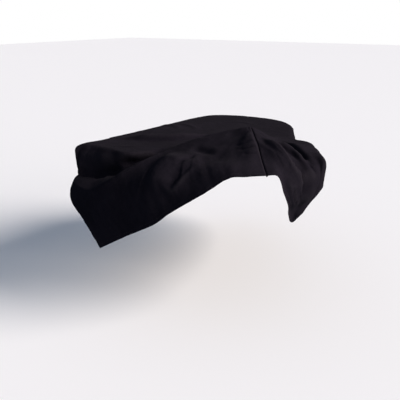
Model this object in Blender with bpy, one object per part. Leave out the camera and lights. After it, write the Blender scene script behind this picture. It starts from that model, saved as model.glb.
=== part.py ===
"""Fitted grand piano cover: one draped surface, cut along its sewn seams into four cloth pieces.

The tables are in metres from the floor under the middle of the keyboard's front:
x to the treble side, y to the tail, z up. ORIGIN is the point of that frame where
the part's origin lies, on the lid under the cover's top.
"""

from dataclasses import dataclass

import bpy
import numpy as np

ORIGIN = np.array([-0.20, 0.90, 0.970])

THICKNESS = 0.0022  # one layer of the cloth with its lining
HEM_THICKNESS = 0.0030  # where the cloth is turned up on itself
HEM_BAND = 0.025
SEAM_GAP = 0.0006  # between two pieces, shared by both

LID_TOP = 0.970  # where the cloth lies flat
PLATEAU = (-0.25, 1.10, 0.972)  # middle of the flat part
SIDE_HEM = 0.535  # height of the hem where a drop hangs plainly
SIDE_FLARE = 0.045  # how far such a hem stands out from its seam
SHOULDER = 0.014  # how far the cloth stands out as it turns over the edge
RIM_INSET = 0.045

FLAT_RINGS = 4
FALL_RINGS = 6
DROP_ROWS = 15


@dataclass(frozen=True)
class Section:
    """One cut across the cover, from its flat top over the lid's edge to the hem."""

    name: str
    columns: int  # mesh columns from here to the next section
    rim: tuple  # where the top leaves the flat part
    fall: tuple  # half way from there to the seam
    seam: tuple  # the top panel's sewn edge
    upper: tuple  # a third of the way down the drop
    lower: tuple  # two thirds
    hem: tuple


@dataclass(frozen=True)
class Fold:
    """A soft ridge (depth above 0) or trough (below 0) along a bent line."""

    name: str
    start: tuple
    middle: tuple
    end: tuple
    width: float
    depth: float


FRONT = (
    Section("bass_corner", 5, (-0.610, 0.172, 0.970), (-0.560, 0.085, 0.830), (-0.608, 0.020, 0.758), (-0.626, 0.000, 0.696), (-0.514, 0.005, 0.508), (-0.391, 0.010, 0.347)),
    Section("bass_cheek", 5, (-0.560, 0.160, 0.970), (-0.550, 0.128, 0.850), (-0.384, -0.030, 0.760), (-0.326, -0.035, 0.674), (-0.235, -0.030, 0.579), (-0.161, 0.000, 0.478)),
    Section("bass_keys", 5, (-0.420, 0.158, 0.971), (-0.360, 0.125, 0.875), (-0.215, -0.030, 0.841), (-0.154, -0.040, 0.753), (-0.067, -0.035, 0.655), (0.002, -0.020, 0.567)),
    Section("key_slip", 5, (-0.280, 0.175, 0.972), (-0.200, 0.140, 0.915), (-0.102, 0.050, 0.921), (-0.010, 0.000, 0.856), (0.095, -0.035, 0.756), (0.152, -0.030, 0.649)),
    Section("over_keys", 5, (-0.190, 0.300, 0.973), (-0.110, 0.240, 0.960), (-0.057, 0.180, 0.971), (0.061, 0.100, 0.917), (0.188, 0.020, 0.831), (0.278, -0.020, 0.742)),
    Section("middle_keys", 5, (-0.140, 0.500, 0.974), (-0.050, 0.420, 0.993), (0.017, 0.330, 1.018), (0.146, 0.240, 0.973), (0.300, 0.130, 0.907), (0.446, 0.030, 0.853)),
    Section("treble_keys", 5, (-0.090, 0.680, 0.978), (0.030, 0.580, 1.018), (0.121, 0.450, 1.065), (0.235, 0.360, 1.022), (0.383, 0.220, 0.964), (0.520, 0.090, 0.920)),
    Section("desk", 5, (-0.010, 0.850, 0.982), (0.135, 0.720, 1.040), (0.248, 0.550, 1.110), (0.341, 0.450, 1.068), (0.474, 0.290, 1.009), (0.591, 0.140, 0.965)),
    Section("apex_left", 4, (0.090, 0.930, 0.984), (0.230, 0.790, 1.055), (0.341, 0.600, 1.131), (0.443, 0.480, 1.087), (0.569, 0.320, 1.029), (0.667, 0.180, 0.980)),
)

TREBLE = (
    Section("corner_seam", 3, (0.130, 0.960, 0.984), (0.280, 0.810, 1.055), (0.387, 0.620, 1.136), (0.504, 0.500, 1.079), (0.617, 0.370, 1.025), (0.737, 0.240, 0.981)),
    Section("first_gore", 4, (0.160, 0.990, 0.984), (0.310, 0.830, 1.048), (0.411, 0.650, 1.118), (0.560, 0.520, 1.070), (0.680, 0.400, 1.020), (0.785, 0.276, 0.962)),
    Section("second_gore", 3, (0.175, 1.005, 0.983), (0.320, 0.850, 1.041), (0.418, 0.680, 1.104), (0.610, 0.540, 1.055), (0.735, 0.435, 0.995), (0.790, 0.322, 0.866)),
    Section("third_gore", 3, (0.195, 1.025, 0.982), (0.335, 0.880, 1.030), (0.425, 0.720, 1.082), (0.640, 0.570, 1.035), (0.768, 0.470, 0.965), (0.775, 0.424, 0.764)),
    Section("low_tip", 4, (0.220, 1.050, 0.980), (0.345, 0.920, 1.018), (0.426, 0.780, 1.056), (0.665, 0.620, 1.015), (0.800, 0.530, 0.930), (0.706, 0.585, 0.592)),
    Section("bulge_front", 4, (0.250, 1.090, 0.976), (0.355, 0.990, 1.000), (0.425, 0.870, 1.018), (0.720, 0.680, 1.013), (0.850, 0.610, 0.940), (0.765, 0.630, 0.659)),
    Section("bulge", 4, (0.285, 1.130, 0.973), (0.365, 1.070, 0.985), (0.419, 0.990, 0.994), (0.686, 0.850, 1.000), (0.865, 0.690, 0.960), (0.826, 0.740, 0.792)),
    Section("notch", 4, (0.310, 1.180, 0.971), (0.365, 1.160, 0.974), (0.402, 1.130, 0.972), (0.570, 1.080, 0.965), (0.700, 0.980, 0.850), (0.690, 0.980, 0.690)),
)

# The lid's outline where the drop hangs plainly, from the bent side round the tail to the bass corner.
SIDES = (
    ("bent_side", 3, 0.355, 1.250),
    ("bent_back", 3, 0.260, 1.400),
    ("tail_turn", 3, 0.150, 1.575),
    ("tail_treble", 3, -0.020, 1.715),
    ("tail_middle", 3, -0.220, 1.750),
    ("tail_bass", 3, -0.450, 1.725),
    ("tail_corner", 3, -0.645, 1.620),
    ("bass_back", 5, -0.700, 1.420),
    ("bass_middle", 5, -0.698, 1.050),
    ("bass_front", 4, -0.698, 0.650),
)
TAIL_SEAM = "tail_middle"

BASS_END = (
    Section("bass_shoulder", 3, (-0.655, 0.390, 0.971), (-0.680, 0.385, 0.972), (-0.696, 0.380, 0.958), (-0.706, 0.375, 0.850), (-0.712, 0.355, 0.690), (-0.670, 0.320, 0.530)),
    Section("bass_notch", 3, (-0.670, 0.205, 0.971), (-0.695, 0.185, 0.970), (-0.708, 0.163, 0.952), (-0.686, 0.168, 0.810), (-0.690, 0.130, 0.640), (-0.560, 0.140, 0.440)),
    Section("bass_dent", 3, (-0.650, 0.182, 0.971), (-0.616, 0.142, 0.915), (-0.627, 0.112, 0.860), (-0.640, 0.085, 0.795), (-0.640, 0.060, 0.640), (-0.465, 0.065, 0.390)),
)

FOLDS = (
    Fold("cheek_hollow", (-0.561, 0.064, 0.800), (-0.323, 0.111, 0.887), (-0.108, 0.235, 0.963), 0.050, -0.035),
    Fold("front_edge_ridge", (-0.339, -0.027, 0.787), (-0.116, 0.064, 0.922), (-0.050, 0.250, 0.985), 0.026, 0.020),
    Fold("under_ridge", (-0.209, -0.042, 0.775), (-0.068, 0.011, 0.880), (-0.015, 0.133, 0.947), 0.028, -0.022),
    Fold("long_valley", (0.024, 0.273, 0.998), (0.053, 0.109, 0.926), (0.085, -0.001, 0.836), 0.032, -0.034),
    Fold("pit", (0.225, 0.340, 1.010), (0.165, 0.255, 0.980), (0.130, 0.195, 0.955), 0.024, -0.030),
    Fold("crescent", (0.199, 0.183, 0.944), (0.236, 0.090, 0.888), (0.187, 0.031, 0.846), 0.024, -0.016),
    Fold("under_apex", (0.335, 0.554, 1.116), (0.312, 0.481, 1.083), (0.285, 0.383, 1.036), 0.050, -0.014),
    Fold("gore_ridge", (0.440, 0.620, 1.110), (0.640, 0.495, 1.048), (0.757, 0.470, 0.961), 0.022, 0.016),
    Fold("first_valley", (0.450, 0.640, 1.100), (0.645, 0.535, 1.048), (0.755, 0.515, 0.975), 0.026, -0.045),
    Fold("second_ridge", (0.450, 0.740, 1.070), (0.643, 0.630, 1.026), (0.780, 0.565, 0.962), 0.024, 0.018),
    Fold("second_valley", (0.461, 0.827, 1.027), (0.643, 0.705, 1.030), (0.800, 0.630, 0.981), 0.036, -0.050),
    Fold("bulge_crease", (0.800, 0.630, 0.975), (0.860, 0.600, 0.893), (0.834, 0.715, 0.806), 0.024, -0.016),
)


@dataclass(frozen=True)
class Flute:
    """A soft upright fold of a drop that hangs plainly, deepest at the hem."""

    after: str  # the side section it follows
    share: float  # of the way to the next one
    width: float
    depth: float


FLUTES = (
    Flute("bent_side", 0.45, 0.060, -0.020),
    Flute("bent_back", 0.30, 0.050, 0.018),
    Flute("tail_turn", 0.10, 0.055, -0.012),
    Flute("tail_treble", 0.20, 0.050, 0.014),
    Flute("tail_middle", 0.60, 0.060, -0.014),
    Flute("tail_bass", 0.55, 0.055, 0.014),
    Flute("tail_corner", 0.60, 0.060, -0.012),
    Flute("bass_back", 0.15, 0.055, 0.016),
    Flute("bass_back", 0.62, 0.060, -0.020),
    Flute("bass_middle", 0.20, 0.060, 0.016),
    Flute("bass_middle", 0.75, 0.055, -0.018),
    Flute("bass_front", 0.35, 0.055, 0.014),
)


def unit(vectors):
    """Vectors at length one along the last axis."""
    return vectors / np.maximum(np.linalg.norm(vectors, axis=-1, keepdims=True), 1e-12)


def through(places, values, at):
    """A smooth curve through values at their places, read at each place of at."""
    places, values, at = np.asarray(places, float), np.asarray(values, float), np.asarray(at, float)
    slopes = np.gradient(values, places, axis=0)
    i = np.clip(np.searchsorted(places, at, side="right") - 1, 0, len(places) - 2)
    step = places[i + 1] - places[i]
    shape = (-1,) + (1,) * (values.ndim - 1)
    x, step = ((at - places[i]) / step).reshape(shape), step.reshape(shape)
    return (
        (2 * x**3 - 3 * x**2 + 1) * values[i]
        + (x**3 - 2 * x**2 + x) * step * slopes[i]
        + (3 * x**2 - 2 * x**3) * values[i + 1]
        + (x**3 - x**2) * step * slopes[i + 1]
    )


def evenly(points, shares):
    """Points at these shares of the length of the smooth curve through the given ones."""
    points = np.asarray(points, float)
    places = np.concatenate([[0], np.cumsum(np.linalg.norm(np.diff(points, axis=0), axis=1))])
    fine = through(places, points, np.linspace(0, places[-1], 80))
    length = np.concatenate([[0], np.cumsum(np.linalg.norm(np.diff(fine, axis=0), axis=1))])
    return np.stack([np.interp(np.asarray(shares) * length[-1], length, fine[:, axis]) for axis in range(3)], axis=1)


def side_folds():
    """The upright folds of the plain drops, placed between the side sections."""
    spots = {s.name: s for s in plain_sections()}
    names = list(spots)
    made = []
    for flute in FLUTES:
        here = spots[flute.after]
        beyond = names[names.index(flute.after) + 1 :]
        there = spots[beyond[0]] if beyond else BASS_END[0]
        share = flute.share
        upper, hem = (np.add(np.multiply(a, 1 - share), np.multiply(b, share)) for a, b in ((here.upper, there.upper), (here.hem, there.hem)))
        made.append(Fold("flute", upper, hem, 2 * hem - upper, flute.width, flute.depth))
    return made


def plain_sections():
    """Sections of the sides that hang plainly, from the lid's outline."""
    spots = np.array([row[2:] for row in SIDES])
    before = np.vstack([TREBLE[-1].seam[:2], spots[:-1]])
    after = np.vstack([spots[1:], BASS_END[0].seam[:2]])
    along = unit(after - before)
    out = np.stack([along[:, 1], -along[:, 0]], axis=1)
    made = []
    for (name, columns, x, y), (ox, oy) in zip(SIDES, out):
        def spot(outward, z):
            return (x + ox * outward, y + oy * outward, z)

        made.append(
            Section(
                name,
                columns,
                spot(-RIM_INSET, LID_TOP + 0.001),
                spot(-RIM_INSET / 2, LID_TOP + 0.002),
                spot(0, LID_TOP - 0.008),
                spot(SHOULDER, LID_TOP - 0.10),
                spot((SHOULDER + SIDE_FLARE) / 2, (LID_TOP + SIDE_HEM) / 2 - 0.03),
                spot(SIDE_FLARE, SIDE_HEM),
            )
        )
    return tuple(made)


def cover_sections():
    """All sections in order round the cover, from the bass front corner along the keyboard."""
    return FRONT + TREBLE + plain_sections() + BASS_END


def round_the_cover(rows, places, columns):
    """Section curves joined smoothly all the way round, from the bass corner's crease back to it, read at every mesh column."""
    return through(np.append(places, columns), np.array([*rows, rows[0]]), np.arange(columns))


def draped_surface():
    """(top, drop, start): points of the top's rings and of the drops' rows for every column, and each section's first column."""
    sections = cover_sections()
    places = np.concatenate([[0], np.cumsum([s.columns for s in sections])])
    columns, places = int(places[-1]), places[:-1]
    flat = [evenly([PLATEAU, np.add(PLATEAU, s.rim) / 2, s.rim], np.linspace(0, 1, FLAT_RINGS + 1)) for s in sections]
    fall = [evenly([s.rim, s.fall, s.seam], np.linspace(0, 1, FALL_RINGS + 1)) for s in sections]
    drop = []
    for s in sections:
        length = sum(np.linalg.norm(np.subtract(a, b)) for a, b in ((s.seam, s.upper), (s.upper, s.lower), (s.lower, s.hem)))
        band = 1 - HEM_BAND / length
        drop.append(evenly([s.seam, s.upper, s.lower, s.hem], np.append(np.linspace(0, band, DROP_ROWS), 1)))
    top = np.concatenate([round_the_cover(flat, places, columns), round_the_cover(fall, places, columns)[:, 1:]], axis=1)
    start = {s.name: int(p) for s, p in zip(sections, places)}
    return top, round_the_cover(drop, places, columns), start


def fold_height(points, fold):
    """How far one fold lifts each point."""
    line = evenly([fold.start, fold.middle, fold.end], np.linspace(0, 1, 25))
    away = np.linalg.norm(points[..., None, :] - line, axis=-1)
    nearest = away.argmin(axis=-1) / (len(line) - 1)
    taper = np.clip(np.minimum(nearest, 1 - nearest) / 0.3, 0, 1)
    return fold.depth * np.exp(-((away.min(axis=-1) / fold.width) ** 2)) * (0.15 + 0.85 * taper * taper * (3 - 2 * taper))


def grid_normals(grid):
    """Outward normals of the whole cover, its rings and rows read as one grid that closes round itself."""
    down = np.gradient(grid, axis=1)
    round_ = np.roll(grid, -1, axis=0) - np.roll(grid, 1, axis=0)
    normals = np.cross(down, round_)
    return unit(normals)


def folded(grid):
    """The grid with every fold pressed into it."""
    normals = grid_normals(grid)
    lift = sum((fold_height(grid, fold) for fold in (*FOLDS, *side_folds())), np.zeros(grid.shape[:2]))
    return grid + normals * lift[..., None]


def sheet(name, points, normals, thickness, closes, material):
    """One cloth piece: a closed shell over a grid of points; closes joins the last column to the first, with a middle point."""
    columns, rows = points.shape[:2]
    inner, outer = points, points + normals * thickness[None, :, None]
    vertices = np.concatenate([inner.reshape(-1, 3), outer.reshape(-1, 3)])
    layer = columns * rows
    faces = []
    spans = columns if closes else columns - 1
    for c in range(spans):
        d = (c + 1) % columns
        for r in range(rows - 1):
            a, b = c * rows + r, d * rows + r
            quad = (a, b, b + 1, a + 1)
            faces += [quad, tuple(layer + v for v in reversed(quad))]
        a, b = c * rows + rows - 1, d * rows + rows - 1
        faces.append((a, b, b + layer, a + layer))
        if not closes:
            a, b = c * rows, d * rows
            faces.append((b, a, a + layer, b + layer))
    if closes:
        middle = len(vertices)
        centre = points[:, 0].mean(axis=0) * 0 + np.array(PLATEAU)
        vertices = np.vstack([vertices, centre, centre + [0, 0, thickness[0]]])
        for c in range(columns):
            a, b = c * rows, ((c + 1) % columns) * rows
            faces += [(middle, b, a), (middle + 1, a + layer, b + layer)]
    else:
        for r in range(rows - 1):
            a, b = r, (columns - 1) * rows + r
            faces += [(a, a + 1, a + 1 + layer, a + layer), (b + 1, b, b + layer, b + 1 + layer)]
    mesh = bpy.data.meshes.new(name)
    mesh.from_pydata((vertices - ORIGIN).tolist(), [], faces)
    mesh.validate()
    mesh.materials.append(material)
    cloth = bpy.data.objects.new(name, mesh)
    bpy.context.collection.objects.link(cloth)
    return cloth


def drawn_in(points, edges):
    """The grid with its sewn edges moved half a seam gap towards its inside."""
    points = points.copy()
    half = SEAM_GAP / 2
    if "first_column" in edges:
        points[0] += unit(points[1] - points[0]) * half
    if "last_column" in edges:
        points[-1] += unit(points[-2] - points[-1]) * half
    if "first_row" in edges:
        points[:, 0] += unit(points[:, 1] - points[:, 0]) * half
    if "last_row" in edges:
        points[:, -1] += unit(points[:, -2] - points[:, -1]) * half
    return points


def black_cloth():
    """The one fabric of the cover."""
    material = bpy.data.materials.new("cover_cloth")
    material.use_nodes = True
    shader = material.node_tree.nodes["Principled BSDF"]
    shader.inputs["Base Color"].default_value = (0.018, 0.016, 0.021, 1)
    shader.inputs["Roughness"].default_value = 0.9
    return material


def build():
    for old in list(bpy.data.objects):
        bpy.data.objects.remove(old)
    material = black_cloth()
    top, drop, start = draped_surface()
    whole = folded(np.concatenate([top[:, 1:], drop[:, 1:]], axis=1))
    normals = grid_normals(whole)
    seam_row = top.shape[1] - 2
    total = len(whole)
    rows = whole.shape[1] - seam_row
    thickness = np.full(rows, THICKNESS)
    thickness[-1] = HEM_THICKNESS

    sheet("top_panel", drawn_in(whole[:, : seam_row + 1], {"last_row"}), normals[:, : seam_row + 1], np.full(seam_row + 1, THICKNESS), True, material)
    drops = (
        ("front_drop", 0, start["corner_seam"]),
        ("treble_drop", start["corner_seam"], start[TAIL_SEAM]),
        ("bass_drop", start[TAIL_SEAM], total),
    )
    for name, first, last in drops:
        columns = np.arange(first, last + 1) % total
        piece = drawn_in(whole[columns, seam_row:], {"first_column", "last_column", "first_row"})
        sheet(name, piece, normals[columns, seam_row:], thickness, False, material)


build()
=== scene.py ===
"""Fitted grand piano cover in black cotton: its looks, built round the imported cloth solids.

The whole cover is worked out as one draped surface, in rows from the middle of its top over
the lid's edge to the hem. Each panel is cut from that surface along the sewn seams and gets
its thickness, its turned hem, its cloth and its stitches.

Lengths are in metres. The tables are in the floor frame: x to the treble side, y to the tail,
z up, from the floor under the middle of the keyboard's front. ORIGIN is where the model's own
origin lies in that frame, on the lid under the cover's top.
"""

import logging
import math
from collections.abc import Sequence
from dataclasses import dataclass, field
from enum import Enum
from typing import ClassVar

import bpy
import numpy as np
from mathutils import Matrix, Vector


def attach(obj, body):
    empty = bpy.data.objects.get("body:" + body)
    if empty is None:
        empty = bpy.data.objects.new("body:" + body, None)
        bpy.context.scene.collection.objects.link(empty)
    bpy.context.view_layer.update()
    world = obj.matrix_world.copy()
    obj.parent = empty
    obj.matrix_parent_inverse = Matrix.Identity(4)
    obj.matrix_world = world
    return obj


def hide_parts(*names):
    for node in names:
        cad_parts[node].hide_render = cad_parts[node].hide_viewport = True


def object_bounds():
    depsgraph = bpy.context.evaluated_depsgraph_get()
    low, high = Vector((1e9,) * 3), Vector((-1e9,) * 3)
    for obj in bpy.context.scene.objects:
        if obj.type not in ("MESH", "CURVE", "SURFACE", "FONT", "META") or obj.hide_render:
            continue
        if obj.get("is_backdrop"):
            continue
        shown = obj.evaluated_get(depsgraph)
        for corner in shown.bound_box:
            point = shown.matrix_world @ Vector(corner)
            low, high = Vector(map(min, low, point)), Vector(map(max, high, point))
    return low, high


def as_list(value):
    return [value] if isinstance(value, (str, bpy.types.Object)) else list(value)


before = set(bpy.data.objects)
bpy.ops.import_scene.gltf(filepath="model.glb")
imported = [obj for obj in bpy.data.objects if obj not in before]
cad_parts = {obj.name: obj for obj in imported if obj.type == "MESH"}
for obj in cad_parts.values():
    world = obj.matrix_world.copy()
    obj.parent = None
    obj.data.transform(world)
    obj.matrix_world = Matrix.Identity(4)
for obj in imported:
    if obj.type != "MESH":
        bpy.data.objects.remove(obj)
CAD_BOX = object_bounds()

log = logging.getLogger("piano_cover")

Point = tuple[float, float, float]

ORIGIN = np.array([-0.20, 0.90, 0.970])
OUTWARD = np.array([0.52, -0.74, 0.42])  # roughly the way out of the keyboard side and the top
LID_TOP = 0.970
PLATEAU: Point = (-0.25, 1.10, 0.972)  # the middle of the flat top
CLOTH_THICKNESS = 0.0022  # with its lining
SEAM_GAP = 0.0003  # from each sewn edge to the seam's middle
BODY = "root"

CURVE_POINTS = 80  # at which a curve is read to measure its length
TINY = 1e-12  # keeps a division from failing
LATTICE_MIX = (127.1, 311.7, 74.7)  # turn a lattice corner's place and seed into its height
LATTICE_SCALE = 43758.5453


# --------------------------------------------------------------------------------------
# Curves and unevenness
# --------------------------------------------------------------------------------------


def unit(vectors: np.ndarray) -> np.ndarray:
    """Brings vectors to length one along the last axis."""
    return vectors / np.maximum(np.linalg.norm(vectors, axis=-1, keepdims=True), TINY)


def smooth_step(share: np.ndarray) -> np.ndarray:
    """Eases a share from 0 to 1 with level ends."""
    share = np.clip(share, 0, 1)
    return share * share * (3 - 2 * share)


def through(places: np.ndarray, values: np.ndarray, at: np.ndarray) -> np.ndarray:
    """Reads a smooth curve through values at their places.

    Args:
        places: Rising places along the curve.
        values: One value, point or row of points for each place.
        at: Places to read.

    Returns:
        The value at each place of at.
    """
    places, values, at = (np.asarray(a, float) for a in (places, values, at))
    slopes = np.gradient(values, places, axis=0)
    i = np.clip(np.searchsorted(places, at, side="right") - 1, 0, len(places) - 2)
    step = places[i + 1] - places[i]
    shape = (-1,) + (1,) * (values.ndim - 1)
    x, step = ((at - places[i]) / step).reshape(shape), step.reshape(shape)
    return (
        (2 * x**3 - 3 * x**2 + 1) * values[i]
        + (x**3 - 2 * x**2 + x) * step * slopes[i]
        + (3 * x**2 - 2 * x**3) * values[i + 1]
        + (x**3 - x**2) * step * slopes[i + 1]
    )


def path_lengths(points: np.ndarray) -> np.ndarray:
    """Measures the way along a line of points to each of them."""
    return np.concatenate([[0], np.cumsum(np.linalg.norm(np.diff(points, axis=0), axis=-1))])


def resampled(points: np.ndarray, at: np.ndarray) -> np.ndarray:
    """Reads a line of points at the given lengths along it."""
    lengths = path_lengths(points)
    return np.stack([np.interp(at, lengths, points[:, axis]) for axis in range(3)], axis=1)


def evenly(points: Sequence[Point], shares: np.ndarray) -> np.ndarray:
    """Reads the smooth curve through a few points at shares of its length.

    Args:
        points: The points that the curve passes through, in order.
        shares: Shares of the curve's length, from 0 to 1.

    Returns:
        The curve's point at each share.
    """
    line = np.asarray(points, float)
    places = path_lengths(line)
    fine = through(places, line, np.linspace(0, places[-1], CURVE_POINTS))
    return resampled(fine, np.asarray(shares) * path_lengths(fine)[-1])


def distance_to_line(points: np.ndarray, line: np.ndarray) -> tuple[np.ndarray, np.ndarray, np.ndarray]:
    """Measures points against a bent line.

    Args:
        points: Places, one a row.
        line: The line's corners, one a row.

    Returns:
        The distance of each place from the line, how far along the line its nearest point
        lies, as a share, and whether the place is on the line's right, seen from outside.
    """
    along = np.diff(line, axis=0)
    squared = (along**2).sum(axis=1)
    rights = np.cross(along, OUTWARD)
    best = np.full(len(points), np.inf)
    share = np.zeros(len(points))
    to_right = np.zeros(len(points), bool)
    for i, (corner, step) in enumerate(zip(line, along)):
        t = np.clip(((points - corner) @ step) / squared[i], 0, 1)
        offset = points - corner - t[:, None] * step
        away = np.linalg.norm(offset, axis=1)
        closer = away < best
        best[closer] = away[closer]
        share[closer] = (i + t[closer]) / len(along)
        to_right[closer] = (offset[closer] @ rights[i]) > 0
    return best, share, to_right


def ripple(x: np.ndarray, y: np.ndarray, seed: float) -> np.ndarray:
    """Makes smooth unevenness over two coordinates, the same each run.

    Args:
        x: The first coordinate of each place, with one bump or dip a unit.
        y: The second coordinate of each place.
        seed: A number that picks the pattern.

    Returns:
        The height of each place, from -1 to 1.
    """

    def corner(i: np.ndarray, j: np.ndarray) -> np.ndarray:
        """Gives a lattice corner its fixed height."""
        mixed = np.sin(i * LATTICE_MIX[0] + j * LATTICE_MIX[1] + seed * LATTICE_MIX[2]) * LATTICE_SCALE
        return 2 * (mixed - np.floor(mixed)) - 1

    i, j = np.floor(x), np.floor(y)
    u, v = smooth_step(x - i), smooth_step(y - j)
    near = corner(i, j) * (1 - u) + corner(i + 1, j) * u
    far = corner(i, j + 1) * (1 - u) + corner(i + 1, j + 1) * u
    return near * (1 - v) + far * v


# --------------------------------------------------------------------------------------
# The shape of the draped cover
# --------------------------------------------------------------------------------------


@dataclass(frozen=True)
class Section:
    """One cut across the cover, from its flat top over the lid's edge to the hem."""

    name: str
    rim: Point  # where the top leaves the flat part
    fall: Point  # half way from there to the seam
    seam: Point  # the top panel's sewn edge
    upper: Point  # a third of the way down the drop
    lower: Point  # two thirds
    hem: Point


@dataclass(frozen=True)
class LidSpot:
    """A place on the lid's outline where the drop hangs plainly."""

    name: str
    x: float
    y: float


FRONT = (
    Section(
        "bass_corner",
        rim=(-0.600, 0.215, 0.969), fall=(-0.603, 0.142, 0.845), seam=(-0.606, 0.018, 0.752),
        upper=(-0.622, 0.000, 0.680), lower=(-0.514, 0.005, 0.508), hem=(-0.391, 0.010, 0.347),
    ),
    Section(
        "bass_cheek",
        rim=(-0.520, 0.205, 0.969), fall=(-0.498, 0.140, 0.826), seam=(-0.388, -0.035, 0.755),
        upper=(-0.328, -0.038, 0.674), lower=(-0.235, -0.030, 0.579), hem=(-0.161, 0.000, 0.478),
    ),
    Section(
        "bass_keys",
        rim=(-0.415, 0.190, 0.970), fall=(-0.385, 0.135, 0.838), seam=(-0.218, -0.035, 0.838),
        upper=(-0.155, -0.040, 0.752), lower=(-0.067, -0.035, 0.655), hem=(0.002, -0.020, 0.567),
    ),
    Section(
        "key_slip",
        rim=(-0.280, 0.185, 0.972), fall=(-0.250, 0.155, 0.846), seam=(-0.102, 0.050, 0.921),
        upper=(-0.010, 0.000, 0.856), lower=(0.095, -0.035, 0.756), hem=(0.152, -0.030, 0.649),
    ),
    Section(
        "over_keys",
        rim=(-0.190, 0.280, 0.973), fall=(-0.140, 0.235, 0.888), seam=(-0.057, 0.180, 0.971),
        upper=(0.061, 0.100, 0.917), lower=(0.188, 0.020, 0.831), hem=(0.278, -0.020, 0.742),
    ),
    Section(
        "middle_keys",
        rim=(-0.140, 0.500, 0.974), fall=(-0.050, 0.420, 0.993), seam=(0.017, 0.330, 1.018),
        upper=(0.146, 0.240, 0.973), lower=(0.300, 0.130, 0.907), hem=(0.446, 0.030, 0.853),
    ),
    Section(
        "treble_keys",
        rim=(-0.090, 0.680, 0.978), fall=(0.030, 0.580, 1.018), seam=(0.121, 0.450, 1.065),
        upper=(0.235, 0.360, 1.022), lower=(0.383, 0.220, 0.964), hem=(0.522, 0.088, 0.912),
    ),
    Section(
        "desk",
        rim=(-0.010, 0.850, 0.982), fall=(0.135, 0.720, 1.040), seam=(0.248, 0.550, 1.110),
        upper=(0.341, 0.450, 1.068), lower=(0.474, 0.290, 1.009), hem=(0.595, 0.134, 0.952),
    ),
    Section(
        "apex_left",
        rim=(0.090, 0.930, 0.984), fall=(0.230, 0.790, 1.055), seam=(0.341, 0.600, 1.131),
        upper=(0.443, 0.480, 1.087), lower=(0.569, 0.320, 1.029), hem=(0.672, 0.172, 0.965),
    ),
)

TREBLE = (
    Section(
        "corner_seam",
        rim=(0.130, 0.960, 0.984), fall=(0.280, 0.810, 1.055), seam=(0.387, 0.620, 1.136),
        upper=(0.504, 0.500, 1.079), lower=(0.617, 0.370, 1.025), hem=(0.740, 0.235, 0.968),
    ),
    Section(
        "first_gore",
        rim=(0.160, 0.990, 0.984), fall=(0.310, 0.830, 1.048), seam=(0.411, 0.650, 1.118),
        upper=(0.560, 0.520, 1.070), lower=(0.680, 0.400, 1.020), hem=(0.785, 0.276, 0.962),
    ),
    Section(
        "second_gore",
        rim=(0.175, 1.005, 0.983), fall=(0.320, 0.850, 1.041), seam=(0.418, 0.680, 1.104),
        upper=(0.610, 0.540, 1.055), lower=(0.735, 0.435, 0.995), hem=(0.794, 0.315, 0.868),
    ),
    Section(
        "third_gore",
        rim=(0.195, 1.025, 0.982), fall=(0.335, 0.880, 1.030), seam=(0.425, 0.720, 1.082),
        upper=(0.640, 0.570, 1.035), lower=(0.768, 0.470, 0.965), hem=(0.776, 0.390, 0.778),
    ),
    Section(
        "low_tip",
        rim=(0.220, 1.050, 0.980), fall=(0.345, 0.920, 1.018), seam=(0.426, 0.780, 1.056),
        upper=(0.665, 0.620, 1.015), lower=(0.800, 0.530, 0.930), hem=(0.728, 0.544, 0.610),
    ),
    Section(
        "bulge_front",
        rim=(0.250, 1.090, 0.976), fall=(0.355, 0.990, 1.000), seam=(0.425, 0.870, 1.018),
        upper=(0.720, 0.680, 1.013), lower=(0.850, 0.610, 0.940), hem=(0.784, 0.592, 0.674),
    ),
    Section(
        "bulge",
        rim=(0.285, 1.130, 0.973), fall=(0.365, 1.070, 0.985), seam=(0.419, 0.990, 0.994),
        upper=(0.686, 0.850, 1.000), lower=(0.865, 0.690, 0.960), hem=(0.834, 0.723, 0.798),
    ),
    Section(
        "notch",
        rim=(0.310, 1.180, 0.971), fall=(0.365, 1.160, 0.974), seam=(0.402, 1.130, 0.972),
        upper=(0.570, 1.080, 0.965), lower=(0.700, 0.980, 0.850), hem=(0.690, 0.980, 0.690),
    ),
)

SIDES = (
    LidSpot("bent_side", 0.355, 1.250),
    LidSpot("bent_back", 0.260, 1.400),
    LidSpot("tail_turn", 0.150, 1.575),
    LidSpot("tail_treble", -0.020, 1.715),
    LidSpot("tail_middle", -0.220, 1.750),
    LidSpot("tail_bass", -0.450, 1.725),
    LidSpot("tail_corner", -0.645, 1.620),
    LidSpot("bass_back", -0.700, 1.420),
    LidSpot("bass_middle", -0.698, 1.050),
    LidSpot("bass_front", -0.698, 0.650),
)

BASS_END = (
    Section(
        "bass_shoulder",
        rim=(-0.655, 0.390, 0.971), fall=(-0.680, 0.385, 0.972), seam=(-0.696, 0.380, 0.958),
        upper=(-0.706, 0.375, 0.850), lower=(-0.712, 0.355, 0.690), hem=(-0.670, 0.320, 0.530),
    ),
    Section(
        "bass_notch",
        rim=(-0.670, 0.205, 0.971), fall=(-0.695, 0.185, 0.970), seam=(-0.708, 0.163, 0.952),
        upper=(-0.686, 0.168, 0.810), lower=(-0.690, 0.130, 0.640), hem=(-0.560, 0.140, 0.440),
    ),
    Section(
        "bass_dent",
        rim=(-0.660, 0.195, 0.971), fall=(-0.672, 0.160, 0.920), seam=(-0.664, 0.146, 0.862),
        upper=(-0.642, 0.085, 0.790), lower=(-0.640, 0.060, 0.640), hem=(-0.465, 0.065, 0.390),
    ),
)


class Crest(Enum):
    """How a fold is rounded across its line."""

    ROUND = "a full soft roll"
    PINCHED = "a narrow crest with long slopes"


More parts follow.
